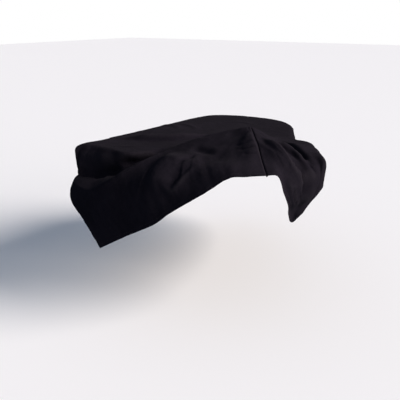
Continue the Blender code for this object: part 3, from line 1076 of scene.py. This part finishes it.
class NodeSheet:
    """A short hand for wiring a material's nodes."""

    MIX_INPUTS: ClassVar[tuple[int, int, int]] = (0, 6, 7)  # a colour Mix node's factor and colours
    MIX_RESULT: ClassVar[int] = 2

    def __init__(self, material: bpy.types.Material) -> None:
        """Opens the material's node tree and keeps its shader.

        Args:
            material: The material to wire.
        """
        material.use_nodes = True
        self.tree = material.node_tree
        self.shader = self.tree.nodes["Principled BSDF"]

    def add(self, kind: str, **settings: object) -> bpy.types.Node:
        """Adds a node and sets its properties.

        Args:
            kind: The node's type.
            settings: Its properties by name.

        Returns:
            The node.
        """
        node = self.tree.nodes.new(kind)
        for name, value in settings.items():
            setattr(node, name, value)
        return node

    def link(self, source: bpy.types.NodeSocket, target: bpy.types.NodeSocket) -> None:
        """Joins two sockets."""
        self.tree.links.new(source, target)

    def math(self, operation: str, a: object, b: object = 0.0) -> bpy.types.NodeSocket:
        """Adds a Math node on two sockets or numbers.

        Args:
            operation: The node's operation.
            a: The first socket or number.
            b: The second socket or number.

        Returns:
            The result's socket.
        """
        node = self.add("ShaderNodeMath", operation=operation)
        for socket, value in zip(node.inputs, (a, b)):
            if isinstance(value, bpy.types.NodeSocket):
                self.link(value, socket)
            else:
                socket.default_value = value
        return node.outputs[0]

    def noise(
        self, vector: bpy.types.NodeSocket, scale: float, detail: float = 2.0, roughness: float = 0.5
    ) -> bpy.types.NodeSocket:
        """Adds a noise over a vector.

        Args:
            vector: The coordinates' socket.
            scale: Bumps for each unit of them.
            detail: Finer layers of noise.
            roughness: How strong each finer layer is.

        Returns:
            The noise's height, from 0 to 1.
        """
        node = self.add("ShaderNodeTexNoise")
        self.link(vector, node.inputs["Vector"])
        node.inputs["Scale"].default_value = scale
        node.inputs["Detail"].default_value = detail
        node.inputs["Roughness"].default_value = roughness
        return node.outputs["Fac"]

    def stretched(self, vector: bpy.types.NodeSocket, scale: Point) -> bpy.types.NodeSocket:
        """Scales a vector by axis.

        Args:
            vector: The vector's socket.
            scale: Its factor on each axis.

        Returns:
            The scaled vector's socket.
        """
        node = self.add("ShaderNodeMapping")
        self.link(vector, node.inputs["Vector"])
        node.inputs["Scale"].default_value = scale
        return node.outputs["Vector"]

    def spread(self, height: bpy.types.NodeSocket, low: float, high: float) -> bpy.types.NodeSocket:
        """Brings the part of a height from low to high to 0 to 1, with eased ends.

        Args:
            height: The height's socket.
            low: What becomes 0.
            high: What becomes 1.

        Returns:
            The spread height's socket.
        """
        node = self.add("ShaderNodeMapRange", interpolation_type="SMOOTHSTEP")
        self.link(height, node.inputs["Value"])
        node.inputs["From Min"].default_value = low
        node.inputs["From Max"].default_value = high
        return node.outputs["Result"]

    def blend(self, factor: object, first: object, second: object) -> bpy.types.NodeSocket:
        """Mixes two colours, each a socket or a fixed colour.

        Args:
            factor: How much of the second, as a socket or a number.
            first: The colour at factor 0.
            second: The colour at factor 1.

        Returns:
            The mixed colour's socket.
        """
        node = self.add("ShaderNodeMix", data_type="RGBA")
        sockets = (node.inputs[i] for i in self.MIX_INPUTS)
        for socket, value in zip(sockets, (factor, first, second)):
            if isinstance(value, bpy.types.NodeSocket):
                self.link(value, socket)
            elif isinstance(value, float):
                socket.default_value = value
            else:
                socket.default_value = (*value, 1.0)
        return node.outputs[self.MIX_RESULT]

    def bump(
        self,
        height: bpy.types.NodeSocket,
        distance: float,
        strength: float,
        under: bpy.types.NodeSocket | None = None,
    ) -> bpy.types.NodeSocket:
        """Adds a Bump node.

        Args:
            height: The height's socket.
            distance: What a height of 1 stands for, in metres.
            strength: How much of the bump shows.
            under: Another bump's normal, which this one lies on.

        Returns:
            The normal's socket.
        """
        node = self.add("ShaderNodeBump")
        node.inputs["Strength"].default_value = strength
        node.inputs["Distance"].default_value = distance
        self.link(height, node.inputs["Height"])
        if under is not None:
            self.link(under, node.inputs["Normal"])
        return node.outputs["Normal"]

    def set_input(self, name: str, value: object) -> None:
        """Sets or wires one of the shader's inputs.

        Args:
            name: The input's name.
            value: A socket, or the input's fixed value.
        """
        if isinstance(value, bpy.types.NodeSocket):
            self.link(value, self.shader.inputs[name])
        else:
            self.shader.inputs[name].default_value = value


@dataclass(frozen=True)
class BlackCotton:
    """Heavy black cotton: a plain weave with uneven yarns, a little faded and dusty."""

    name: str = "black_cotton"
    deep: Point = (0.0072, 0.0060, 0.0092)
    faded: Point = (0.0115, 0.0095, 0.0140)
    rubbed: Point = (0.022, 0.019, 0.023)
    dust: Point = (0.050, 0.044, 0.048)
    rubbing: float = 0.35  # share of the rubbed colour on the crests and edges
    yarn_rubbing: float = 0.30  # and on thick yarns
    lint: float = 0.55  # share of the dust's colour on a speck
    yarn: float = 0.0011  # from one yarn to the next
    slub_length: float = 1 / 60  # of a yarn's thick and thin places
    slub_width: float = 1 / 900
    roughness: float = 0.82
    mottled_roughness: float = 0.12
    sheen: float = 0.012
    sheen_roughness: float = 0.45
    sheen_tint: Point = (0.80, 0.76, 0.82)

    def build(self) -> bpy.types.Material:
        """Makes the material from the panels' flat map and their rubbed places.

        Returns:
            The cloth's material.
        """
        material = bpy.data.materials.new(self.name)
        sheet = NodeSheet(material)
        flat = sheet.add("ShaderNodeUVMap", uv_map="cloth").outputs["UV"]
        solid = sheet.add("ShaderNodeTexCoord").outputs["Object"]
        mottle = sheet.noise(solid, scale=26, detail=4, roughness=0.6)
        slubs = self._slubs(sheet, flat)
        sheet.set_input("Base Color", self._colour(sheet, flat, solid, mottle, slubs))
        rougher = sheet.math("MULTIPLY", mottle, self.mottled_roughness)
        sheet.set_input("Roughness", sheet.math("ADD", rougher, self.roughness))
        crumple = sheet.noise(solid, scale=14, detail=5, roughness=0.55)
        normal = sheet.bump(crumple, distance=0.012, strength=0.35)
        normal = sheet.bump(slubs, distance=0.0003, strength=0.35, under=normal)
        normal = sheet.bump(self._weave(sheet, flat), distance=0.0002, strength=0.45, under=normal)
        sheet.set_input("Normal", normal)
        sheet.set_input("Specular IOR Level", 0.0)
        sheet.set_input("Sheen Weight", self.sheen)
        sheet.set_input("Sheen Roughness", self.sheen_roughness)
        sheet.set_input("Sheen Tint", (*self.sheen_tint, 1))
        return material

    def _colour(
        self,
        sheet: NodeSheet,
        flat: bpy.types.NodeSocket,
        solid: bpy.types.NodeSocket,
        mottle: bpy.types.NodeSocket,
        slubs: bpy.types.NodeSocket,
    ) -> bpy.types.NodeSocket:
        """Wires the colour: faded in clouds, rubbed on crests and thick yarns, with specks of lint.

        Args:
            sheet: The material's nodes.
            flat: Places on the flat cloth.
            solid: Places on the piece.
            mottle: A noise a few centimetres across.
            slubs: How thick the yarns are.

        Returns:
            The colour's socket.
        """
        worn = sheet.add("ShaderNodeAttribute", attribute_name="worn").outputs["Fac"]
        clouds = sheet.noise(solid, scale=3.2, detail=6, roughness=0.62)
        clouds = sheet.math("ADD", clouds, sheet.math("MULTIPLY", mottle, 0.35))
        thick = sheet.spread(slubs, low=0.72, high=1.25)
        specks = sheet.noise(sheet.stretched(flat, (1, 1.7, 1)), scale=420, detail=1)
        specks = sheet.spread(specks, low=0.765, high=0.80)
        colour = sheet.blend(sheet.spread(clouds, low=0.50, high=0.86), self.deep, self.faded)
        colour = sheet.blend(sheet.math("MULTIPLY", worn, self.rubbing), colour, self.rubbed)
        colour = sheet.blend(sheet.math("MULTIPLY", thick, self.yarn_rubbing), colour, self.rubbed)
        return sheet.blend(sheet.math("MULTIPLY", specks, self.lint), colour, self.dust)

    def _slubs(self, sheet: NodeSheet, flat: bpy.types.NodeSocket) -> bpy.types.NodeSocket:
        """Wires how thick the yarns are, along both ways of the cloth.

        Args:
            sheet: The material's nodes.
            flat: Places on the flat cloth.

        Returns:
            The thickness of both yarns together, from 0 to 2.
        """
        along, across = 1 / self.slub_length, 1 / self.slub_width
        warp = sheet.noise(sheet.stretched(flat, (along, across, 1)), scale=1.0)
        weft = sheet.noise(sheet.stretched(flat, (across, along, 1)), scale=1.0)
        return sheet.math("ADD", warp, weft)

    def _weave(self, sheet: NodeSheet, flat: bpy.types.NodeSocket) -> bpy.types.NodeSocket:
        """Wires a plain weave: yarns that pass over and under each other.

        Args:
            sheet: The material's nodes.
            flat: Places on the flat cloth.

        Returns:
            The weave's height, from -1 to 1.
        """
        split = sheet.add("ShaderNodeSeparateXYZ")
        sheet.link(flat, split.inputs[0])
        turns = math.pi / self.yarn
        warp = sheet.math("SINE", sheet.math("MULTIPLY", split.outputs[0], turns))
        weft = sheet.math("SINE", sheet.math("MULTIPLY", split.outputs[1], turns))
        return sheet.math("MULTIPLY", warp, weft)


@dataclass(frozen=True)
class BlackThread:
    """Twisted black sewing thread, a little shinier than the cloth."""

    name: str = "black_thread"
    dark: Point = (0.016, 0.014, 0.017)
    pale: Point = (0.032, 0.028, 0.034)
    roughness: float = 0.6
    shine: float = 0.25
    twist: float = 0.0006

    def build(self) -> bpy.types.Material:
        """Makes the material, with the thread's twist as a bump.

        Returns:
            The thread's material.
        """
        material = bpy.data.materials.new(self.name)
        sheet = NodeSheet(material)
        solid = sheet.add("ShaderNodeTexCoord").outputs["Object"]
        sheet.set_input("Base Color", sheet.blend(sheet.noise(solid, scale=180), self.dark, self.pale))
        strands = sheet.noise(solid, scale=1 / self.twist, detail=1)
        sheet.set_input("Normal", sheet.bump(strands, distance=0.0002, strength=0.5))
        sheet.set_input("Roughness", self.roughness)
        sheet.set_input("Specular IOR Level", self.shine)
        return material


@dataclass(frozen=True)
class FloorPaint:
    """Matt pale paint."""

    name: str = "floor_paint"
    colour: Point = (0.95, 0.95, 0.95)
    roughness: float = 0.9
    shine: float = 0.1

    def build(self) -> bpy.types.Material:
        """Makes the material.

        Returns:
            The paint's material.
        """
        material = bpy.data.materials.new(self.name)
        sheet = NodeSheet(material)
        sheet.set_input("Base Color", (*self.colour, 1))
        sheet.set_input("Roughness", self.roughness)
        sheet.set_input("Specular IOR Level", self.shine)
        return material


# --------------------------------------------------------------------------------------
# The panels
# --------------------------------------------------------------------------------------


class Held(Enum):
    """How a panel is held up."""

    DRAPED = "draped"
    HUNG = "hung"


@dataclass(frozen=True)
class Cut:
    """How a panel was cut from flat cloth."""

    size: tuple[float, float]
    area: float  # within that size, in square metres


def placed(name: str, mesh: bpy.types.Mesh) -> bpy.types.Object:
    """Puts a mesh into the scene, at the origin.

    Args:
        name: The object's name.
        mesh: Its mesh.

    Returns:
        The object.
    """
    thing = bpy.data.objects.new(name, mesh)
    bpy.context.scene.collection.objects.link(thing)
    return thing


def net(wide: int, high: int) -> tuple[np.ndarray, np.ndarray]:
    """Numbers the places of a net of threads and lists its meshes.

    Args:
        wide: Places along the net's first way.
        high: Places along its second way.

    Returns:
        The places' numbers, wide x high, and the four corners of each of its meshes.
    """
    index = np.arange(wide * high).reshape(wide, high)
    quads = np.stack([index[:-1, :-1], index[:-1, 1:], index[1:, 1:], index[1:, :-1]], axis=-1)
    return index, quads.reshape(-1, 4)


@dataclass
class ClothShell:
    """A sheet of cloth with its thickness: two layers joined round the border."""

    name: str
    inner: np.ndarray  # vertices x 3
    outer: np.ndarray
    flat: np.ndarray  # vertices x 2
    worn: np.ndarray
    quads: np.ndarray  # faces x 4, seen from outside
    border: Sequence[int]  # the border's vertices, with the cloth on their left from outside
    edge_roundness: float = 0.0008

    def build(self, material: bpy.types.Material) -> bpy.types.Object:
        """Makes the closed mesh.

        Args:
            material: The cloth.

        Returns:
            The piece's object, at the origin.
        """
        mesh = bpy.data.meshes.new(self.name)
        mesh.from_pydata(self._vertices().tolist(), [], self._faces())
        rim = np.array(self.border)
        flat = np.vstack([self.flat, self.flat, self.flat[rim]]).astype(np.float32)
        worn = np.concatenate([self.worn * 0, self.worn, np.ones(len(rim))]).astype(np.float32)
        corners = np.empty(len(mesh.loops), int)
        mesh.loops.foreach_get("vertex_index", corners)
        mesh.uv_layers.new(name="cloth").data.foreach_set("uv", flat[corners].ravel())
        mesh.attributes.new("worn", "FLOAT", "POINT").data.foreach_set("value", worn)
        mesh.polygons.foreach_set("use_smooth", np.ones(len(mesh.polygons), bool))
        mesh.materials.append(material)
        mesh.update()
        return placed(self.name, mesh)

    def _vertices(self) -> np.ndarray:
        """Stacks the inner layer, the outer layer and the round edge between them.

        Returns:
            The vertices in the model's own frame.
        """
        rim = np.array(self.border)
        middle = (self.inner[rim] + self.outer[rim]) / 2
        along = np.roll(middle, -1, axis=0) - np.roll(middle, 1, axis=0)
        outward = unit(np.cross(along, self.outer[rim] - self.inner[rim]))
        return np.vstack([self.inner, self.outer, middle + outward * self.edge_roundness]) - ORIGIN

    def _faces(self) -> list[tuple[int, ...]]:
        """Lists both layers' faces and the two strips round the border.

        Returns:
            Each face's vertices.
        """
        layer = len(self.inner)
        count = len(self.border)
        quads = [tuple(q) for q in self.quads.tolist()]
        faces = [tuple(reversed(q)) for q in quads]
        faces += [tuple(layer + v for v in q) for q in quads]
        for i in range(count):
            a, b = self.border[i], self.border[(i + 1) % count]
            c, d = 2 * layer + i, 2 * layer + (i + 1) % count
            faces += [(a, b, d, c), (c, d, b + layer, a + layer)]
        return faces


@dataclass
class TopPanel:
    """The panel over the lid, its sewn edge all round."""

    cover: DrapedCover
    node: str = "top_panel"
    cut: Cut = Cut(size=(1.42, 1.96), area=2.0)
    thickness: float = CLOTH_THICKNESS
    seam_gap: float = SEAM_GAP
    turn: float = 0.135  # share of the seam by which the net of threads is turned round

    def build(self, cloth: bpy.types.Material) -> bpy.types.Object:
        """Makes the panel on a square net of threads whose rings are the cover's rows.

        Args:
            cloth: The cloth's material.

        Returns:
            The panel's object.
        """
        index, quads = net(2 * self.cover.rings + 1, 2 * self.cover.rings + 1)
        ring, column = self._threads()
        inner = self._read(self.cover.points, column, ring)
        normals = unit(self._read(self.cover.normals, column, ring))
        edge = ring == self.cover.rings
        inward = unit(self._read(self.cover.points, column, np.maximum(ring - 1, 0)) - inner)
        inner[edge] += inward[edge] * self.seam_gap
        border = [*index[:-1, 0], *index[-1, :-1], *index[:0:-1, -1], *index[0, :0:-1]]
        shell = ClothShell(
            self.node + "_cloth",
            inner,
            inner + normals * self.thickness,
            self._read(self.cover.flat, column, ring),
            self._read(self.cover.worn[..., None], column, ring)[:, 0],
            quads[:, [0, 3, 2, 1]],  # turned over, because this net's rows run the other way
            [int(v) for v in border],
        )
        return shell.build(cloth)

    def _threads(self) -> tuple[np.ndarray, np.ndarray]:
        """Finds where the crossings of the square net lie on the cover.

        Returns:
            The cover's row of each crossing, and its place between the cover's columns.
        """
        ways = np.arange(-self.cover.rings, self.cover.rings + 1)
        i, j = (way.ravel() for way in np.meshgrid(ways, ways, indexing="ij"))
        ring = np.maximum(np.abs(i), np.abs(j))
        safe = np.maximum(ring, 1)
        eighths = np.select(
            [(i == ring) & (j > -ring), j == ring, i == -ring],
            [j / safe, 2 - i / safe, 4 - j / safe],
            6 + i / safe,
        )
        share = (eighths / 8 + self.turn) % 1.0
        seam = self.cover.points[:, self.cover.seam_row]
        lengths = path_lengths(np.vstack([seam, seam[:1]]))
        return ring, np.interp(share * lengths[-1], lengths, np.arange(len(lengths)))

    @staticmethod
    def _read(grid: np.ndarray, column: np.ndarray, row: np.ndarray) -> np.ndarray:
        """Reads a grid between its columns on a smooth curve through the four nearest.

        Args:
            grid: Values, columns x rows x parts.
            column: Places between the columns.
            row: The row of each place.

        Returns:
            The value at each place.
        """
        low = np.floor(column).astype(int)
        t = (column - low)[:, None]
        before, here, after, beyond = (grid[(low + k) % len(grid), row] for k in (-1, 0, 1, 2))
        return 0.5 * (
            2 * here
            + (after - before) * t
            + (2 * before - 5 * here + 4 * after - beyond) * t**2
            + (3 * here - before - 3 * after + beyond) * t**3
        )


@dataclass(frozen=True)
class TurnedHem:
    """A hem turned up on itself, pulled in along its stitches and a little puckered."""

    extra: float = 0.0009  # thickness of the turning
    band: float = 0.0275  # height of the turning
    band_edge: float = 0.0020
    stitches: float = 0.0215  # how high they run
    pull: float = 0.0005  # how far they draw the cloth in
    pull_width: float = 0.0022
    pucker: float = 0.0005
    pucker_size: float = 0.014
    pucker_top: float = 0.034  # height at which the puckers are gone
    pucker_fade: float = 0.020
    pucker_starts: float = 0.010
    thinnest: float = -0.0010  # least that the hem adds
    rubbing: float = 0.5
    rubbed_height: float = 0.003

    def extra_thickness(self, height: np.ndarray, along: np.ndarray) -> np.ndarray:
        """Works out what the hem adds to the cloth's thickness.

        Args:
            height: Each place's height above the hem's edge.
            along: Its way along the hem.

        Returns:
            The extra thickness of each place.
        """
        turned = self.extra * smooth_step((self.band - height) / self.band_edge)
        pulled = self.pull * np.exp(-(((height - self.stitches) / self.pull_width) ** 2))
        puckers = self.pucker * ripple(along / self.pucker_size, np.zeros(along.shape), seed=31)
        puckers = puckers * smooth_step((self.pucker_top - height) / self.pucker_fade)
        puckers = puckers * smooth_step(height / self.pucker_starts)
        return np.maximum(turned - pulled + puckers, self.thinnest)

    def rubbed(self, height: np.ndarray) -> np.ndarray:
        """Says how rubbed the hem is at each height above its edge."""
        return self.rubbing * np.exp(-height / self.rubbed_height)


@dataclass
class Drop:
    """A panel that hangs from the top's seam and ends in a turned, stitched hem."""

    cover: DrapedCover
    node: str
    next_drop: str | None  # the node of the drop that starts where this one ends
    cut: Cut
    thickness: float = CLOTH_THICKNESS
    seam_gap: float = SEAM_GAP
    hem: TurnedHem = field(default_factory=TurnedHem)
    unstitched: int = 2  # columns at each end of the hem

    def build(self, cloth: bpy.types.Material) -> tuple[bpy.types.Object, np.ndarray]:
        """Makes the drop.

        Args:
            cloth: The cloth's material.

        Returns:
            The drop's object, and the line of its hem's stitches with their outward normals.
        """
        columns = self._columns()
        rows = slice(self.cover.seam_row, None)
        inner, normals = self.cover.points[columns, rows].copy(), self.cover.normals[columns, rows]
        for edge, inside in ((np.s_[0], np.s_[1]), (np.s_[-1], np.s_[-2]), (np.s_[:, 0], np.s_[:, 1])):
            inner[edge] += unit(inner[inside] - inner[edge]) * self.seam_gap
        steps = np.linalg.norm(np.diff(inner, axis=1), axis=-1)
        height = np.zeros(inner.shape[:2])
        height[:, :-1] = np.cumsum(steps[:, ::-1], axis=1)[:, ::-1]
        extra = self.hem.extra_thickness(height, path_lengths(inner[:, -1])[:, None])
        outer = inner + normals * (self.thickness + extra)[..., None]
        worn = np.clip(self.cover.worn[columns, rows] + self.hem.rubbed(height), 0, 1)
        index, quads = net(*inner.shape[:2])
        border = [*index[0, :-1], *index[:-1, -1], *index[-1, :0:-1], *index[:0:-1, 0]]
        shell = ClothShell(
            self.node + "_cloth",
            inner.reshape(-1, 3),
            outer.reshape(-1, 3),
            self.cover.flat[columns, rows].reshape(-1, 2),
            worn.reshape(-1),
            quads,
            [int(v) for v in border],
        )
        hem_rows = self.cover.hem_rows
        row = hem_rows.index(self.hem.stitches) - len(hem_rows)
        stitched = slice(self.unstitched, -self.unstitched)
        line = np.concatenate([outer[stitched, row], normals[stitched, row]], axis=1)
        return shell.build(cloth), line

    def _columns(self) -> np.ndarray:
        """Lists the cover's columns that this drop has.

        Returns:
            Their numbers, both sewn edges among them.
        """
        total = len(self.cover.points)
        start = self.cover.first[self.node]
        stop = self.cover.first[self.next_drop] if self.next_drop else total
        return np.arange(start, stop + 1) % total


@dataclass
class HemStitching:
    """The row of stitches that holds a turned hem."""

    thread: bpy.types.Material
    stitch: float = 0.0034
    gap: float = 0.0016
    thickness: float = 0.0009
    proud: float = 0.0001
    tree: bpy.types.NodeTree = field(init=False)

    def __post_init__(self) -> None:
        """Builds the node tree that lays one stitch after another along a line."""
        self.tree = bpy.data.node_groups.new("hem_stitching", "GeometryNodeTree")
        self.tree.interface.new_socket("Line", in_out="INPUT", socket_type="NodeSocketGeometry")
        for name in self._sizes():
            self.tree.interface.new_socket(name, in_out="INPUT", socket_type="NodeSocketFloat")
        self.tree.interface.new_socket("Stitches", in_out="OUTPUT", socket_type="NodeSocketGeometry")
        given, result = self._node("NodeGroupInput"), self._node("NodeGroupOutput")
        curve = self._node("GeometryNodeMeshToCurve")
        pitch = self._node("ShaderNodeMath", operation="ADD")
        even = self._node("GeometryNodeResampleCurve", mode="LENGTH")
        tangent = self._node("GeometryNodeInputTangent")
        turn = self._node("FunctionNodeAlignRotationToVector", axis="Z")
        ball = self._node("GeometryNodeMeshIcoSphere")
        ball.inputs["Radius"].default_value = 0.5
        ball.inputs["Subdivisions"].default_value = 1
        size = self._node("ShaderNodeCombineXYZ")
        place = self._node("GeometryNodeInstanceOnPoints")
        real = self._node("GeometryNodeRealizeInstances")
        dress = self._node("GeometryNodeSetMaterial")
        dress.inputs["Material"].default_value = self.thread
        for source, output, target, socket in (
            (given, "Line", curve, "Mesh"),
            (given, "Stitch", pitch, 0),
            (given, "Gap", pitch, 1),
            (curve, "Curve", even, "Curve"),
            (pitch, 0, even, "Length"),
            (tangent, "Tangent", turn, "Vector"),
            (given, "Thread", size, "X"),
            (given, "Thread", size, "Y"),
            (given, "Stitch", size, "Z"),
            (even, "Curve", place, "Points"),
            (ball, "Mesh", place, "Instance"),
            (turn, "Rotation", place, "Rotation"),
            (size, "Vector", place, "Scale"),
            (place, "Instances", real, "Geometry"),
            (real, "Geometry", dress, "Geometry"),
            (dress, "Geometry", result, "Stitches"),
        ):
            self.tree.links.new(source.outputs[output], target.inputs[socket])

    def _sizes(self) -> dict[str, float]:
        """Names the tree's inputs and their sizes."""
        return {"Stitch": self.stitch, "Gap": self.gap, "Thread": self.thickness}

    def _node(self, kind: str, **settings: object) -> bpy.types.Node:
        """Adds a node to the tree and sets its properties.

        Args:
            kind: The node's type.
            settings: Its properties by name.

        Returns:
            The node.
        """
        node = self.tree.nodes.new(kind)
        for name, value in settings.items():
            setattr(node, name, value)
        return node

    def build(self, name: str, line: np.ndarray) -> bpy.types.Object:
        """Lays the stitches along one hem.

        Args:
            name: The piece's name.
            line: Places on the cloth and their outward normals, one row each.

        Returns:
            The stitches as one plain mesh.
        """
        places = line[:, :3] + line[:, 3:] * self.proud - ORIGIN
        guide_mesh = bpy.data.meshes.new(name + "_line")
        guide_mesh.from_pydata(places.tolist(), [(i, i + 1) for i in range(len(places) - 1)], [])
        guide = placed(name + "_line", guide_mesh)
        modifier = guide.modifiers.new("stitches", "NODES")
        modifier.node_group = self.tree
        sizes = self._sizes()
        for item in self.tree.interface.items_tree:
            if item.item_type == "SOCKET" and item.in_out == "INPUT" and item.name in sizes:
                modifier[item.identifier] = sizes[item.name]
        graph = bpy.context.evaluated_depsgraph_get()
        finished = guide.evaluated_get(graph)
        mesh = bpy.data.meshes.new_from_object(finished, preserve_all_data_layers=True, depsgraph=graph)
        guide.modifiers.remove(modifier)
        bpy.data.objects.remove(guide)
        mesh.name = name
        if not mesh.materials:
            mesh.materials.append(self.thread)
        mesh.polygons.foreach_set("use_smooth", np.ones(len(mesh.polygons), bool))
        return placed(name, mesh)


@dataclass
class PianoCover:
    """The whole cover: its top, its three drops and their stitched hems."""

    surface: DrapedCover
    cotton: BlackCotton = field(default_factory=BlackCotton)
    thread: BlackThread = field(default_factory=BlackThread)

    def build(self) -> list[bpy.types.Object]:
        """Makes every piece and lets it ride on the body.

        Returns:
            The finished pieces.
        """
        cloth, thread = self.cotton.build(), self.thread.build()
        stitching = HemStitching(thread)
        top = TopPanel(self.surface)
        panel = top.build(cloth)
        self._declare(panel, top.node, top.cut, Held.DRAPED, [], [])
        made = [panel]
        drops = (
            Drop(self.surface, "front_drop", next_drop="treble_drop", cut=Cut(size=(1.75, 0.45), area=0.60)),
            Drop(self.surface, "treble_drop", next_drop="bass_drop", cut=Cut(size=(2.10, 0.62), area=0.95)),
            Drop(self.surface, "bass_drop", next_drop=None, cut=Cut(size=(2.35, 0.46), area=0.98)),
        )
        for drop in drops:
            piece, line = drop.build(cloth)
            stitches = stitching.build(drop.node + "_stitches", line)
            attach(stitches, BODY)
            self._declare(piece, drop.node, drop.cut, Held.HUNG, [panel.name], [stitches])
            made += [piece, stitches]
        return made

    @staticmethod
    def _declare(
        piece: bpy.types.Object,
        node: str,
        cut: Cut,
        held: Held,
        rests_on: list[str],
        on_it: list[bpy.types.Object],
    ) -> None:
        """Lets a cloth piece ride on the body and hides the solid that it replaces.

        Args:
            piece: The cloth.
            node: The solid that it replaces.
            cut: Its flat size and area; not used.
            held: How it is held up; not used.
            rests_on: The names of the pieces that hold it; not used.
            on_it: The pieces sewn to it; not used.
        """
        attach(piece, BODY)
        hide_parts(node)
        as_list(rests_on)


# --------------------------------------------------------------------------------------
# Studio and camera
# --------------------------------------------------------------------------------------


@dataclass(frozen=True)
class SoftLamp:
    """A large, distant soft light that shines the same way on the cover and the floor."""

    name: str
    towards: Point  # from the cover to the light
    spread: float  # degrees that the light takes up, seen from the cover
    strength: float
    colour: Point

    DISTANCE: ClassVar[float] = 4.0  # of the lamp's marker; the light itself comes from afar

    def build(self) -> None:
        """Hangs the lamp, facing the cover."""
        data = bpy.data.lights.new(self.name, "SUN")
        data.angle, data.energy, data.color = math.radians(self.spread), self.strength, self.colour
        lamp = bpy.data.objects.new(self.name, data)
        lamp.location = Vector(self.towards).normalized() * self.DISTANCE
        lamp.rotation_euler = Vector(self.towards).to_track_quat("Z", "Y").to_euler()
        bpy.context.scene.collection.objects.link(lamp)


@dataclass(frozen=True)
class Studio:
    """A pale floor, white surroundings and soft lamps."""

    floor_size: float = 60.0
    paint: FloorPaint = field(default_factory=FloorPaint)
    backdrop: Point = (1.0, 1.0, 1.0)  # what the camera sees past the floor
    sky: Point = (0.62, 0.76, 1.0)
    sky_strength: float = 0.28
    lamps: tuple[SoftLamp, ...] = (
        SoftLamp("key", towards=(0.80, 0.38, 0.46), spread=28, strength=4.7, colour=(1.0, 0.92, 0.87)),
        SoftLamp("side", towards=(0.97, -0.10, 0.10), spread=40, strength=2.1, colour=(1.0, 0.94, 0.90)),
    )

    def build(self) -> None:
        """Lays the floor and lights the room."""
        self._lay_floor()
        self._surround()
        for lamp in self.lamps:
            lamp.build()
        bpy.context.scene.view_settings.view_transform = "Standard"

    def _lay_floor(self) -> None:
        """Lays the floor under the piano's feet."""
        half = self.floor_size / 2
        mesh = bpy.data.meshes.new("studio_floor")
        corners = [(-half, -half), (half, -half), (half, half), (-half, half)]
        mesh.from_pydata([(x, y, -ORIGIN[2]) for x, y in corners], [], [(0, 1, 2, 3)])
        mesh.materials.append(self.paint.build())
        floor = placed("studio_floor", mesh)
        floor.visible_diffuse = False  # its bounce would fill the cloth's shadows
        floor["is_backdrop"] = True

    def _surround(self) -> None:
        """Gives the cover a pale blue sky, and the camera a white backdrop instead."""
        world = bpy.data.worlds.new("studio_world")
        world.use_nodes = True
        nodes, links = world.node_tree.nodes, world.node_tree.links
        sky, backdrop = nodes["Background"], nodes.new("ShaderNodeBackground")
        sky.inputs["Color"].default_value = (*self.sky, 1)
        sky.inputs["Strength"].default_value = self.sky_strength
        backdrop.inputs["Color"].default_value = (*self.backdrop, 1)
        seen = nodes.new("ShaderNodeLightPath")
        either = nodes.new("ShaderNodeMixShader")
        links.new(seen.outputs["Is Camera Ray"], either.inputs[0])
        links.new(sky.outputs[0], either.inputs[1])
        links.new(backdrop.outputs[0], either.inputs[2])
        links.new(either.outputs[0], nodes["World Output"].inputs["Surface"])
        bpy.context.scene.world = world


@dataclass(frozen=True)
class KeyboardSideCamera:
    """The camera in front of the keyboard's treble end, looking down at the cover."""

    name: str = "keyboard_side_camera"
    place: Point = (2.23238, -2.25339, 1.79315)  # in the floor frame
    azimuth: float = 35.783  # degrees
    elevation: float = 20.9231
    roll: float = -0.27156
    focal_pixels: float = 556.828
    centre_pixels: tuple[float, float] = (221.7006, 225.4584)
    frame_pixels: int = 400
    sensor: float = 36.0  # millimetres
    far: float = 200.0

    def build(self) -> None:
        """Makes the scene's camera."""
        data = bpy.data.cameras.new(self.name)
        data.sensor_width = self.sensor
        data.lens = self.focal_pixels / self.frame_pixels * self.sensor
        data.shift_x = (self.frame_pixels / 2 - self.centre_pixels[0]) / self.frame_pixels
        data.shift_y = (self.centre_pixels[1] - self.frame_pixels / 2) / self.frame_pixels
        data.clip_end = self.far
        place = Vector(np.array(self.place) - ORIGIN)
        camera = bpy.data.objects.new(self.name, data)
        camera.matrix_world = Matrix.Translation(place) @ Matrix(self._axes().tolist()).to_4x4()
        bpy.context.scene.collection.objects.link(camera)
        bpy.context.scene.camera = camera

    def _axes(self) -> np.ndarray:
        """Turns the camera's three angles into its axes.

        Returns:
            Its right, up and backward axes as columns.
        """
        a, e, r = (math.radians(x) for x in (self.azimuth, self.elevation, self.roll))
        ahead = np.array([-math.sin(a) * math.cos(e), math.cos(a) * math.cos(e), -math.sin(e)])
        level = np.array([math.cos(a), math.sin(a), 0.0])
        upright = np.cross(level, ahead)
        right = math.cos(r) * level + math.sin(r) * upright
        up = -math.sin(r) * level + math.cos(r) * upright
        return np.stack([right, up, -ahead], axis=1)


def write_sizes() -> None:
    """Measures the solids' box and the finished cover's box."""
    boxes = {"cad": CAD_BOX, "visual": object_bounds()}
    {name: [list(corner) for corner in box] for name, box in boxes.items()}


def main() -> None:
    """Builds the camera, the studio and the cover, and reports each piece."""
    logging.basicConfig(level=logging.INFO, format="%(name)s: %(message)s")
    KeyboardSideCamera().build()
    Studio().build()
    surface = DrapedCover()
    log.info("surface: %d columns, %d rows", *surface.points.shape[:2])
    for piece in PianoCover(surface).build():
        log.info("%s: %d faces", piece.name, len(piece.data.polygons))
    write_sizes()


if __name__ == "__main__":
    main()
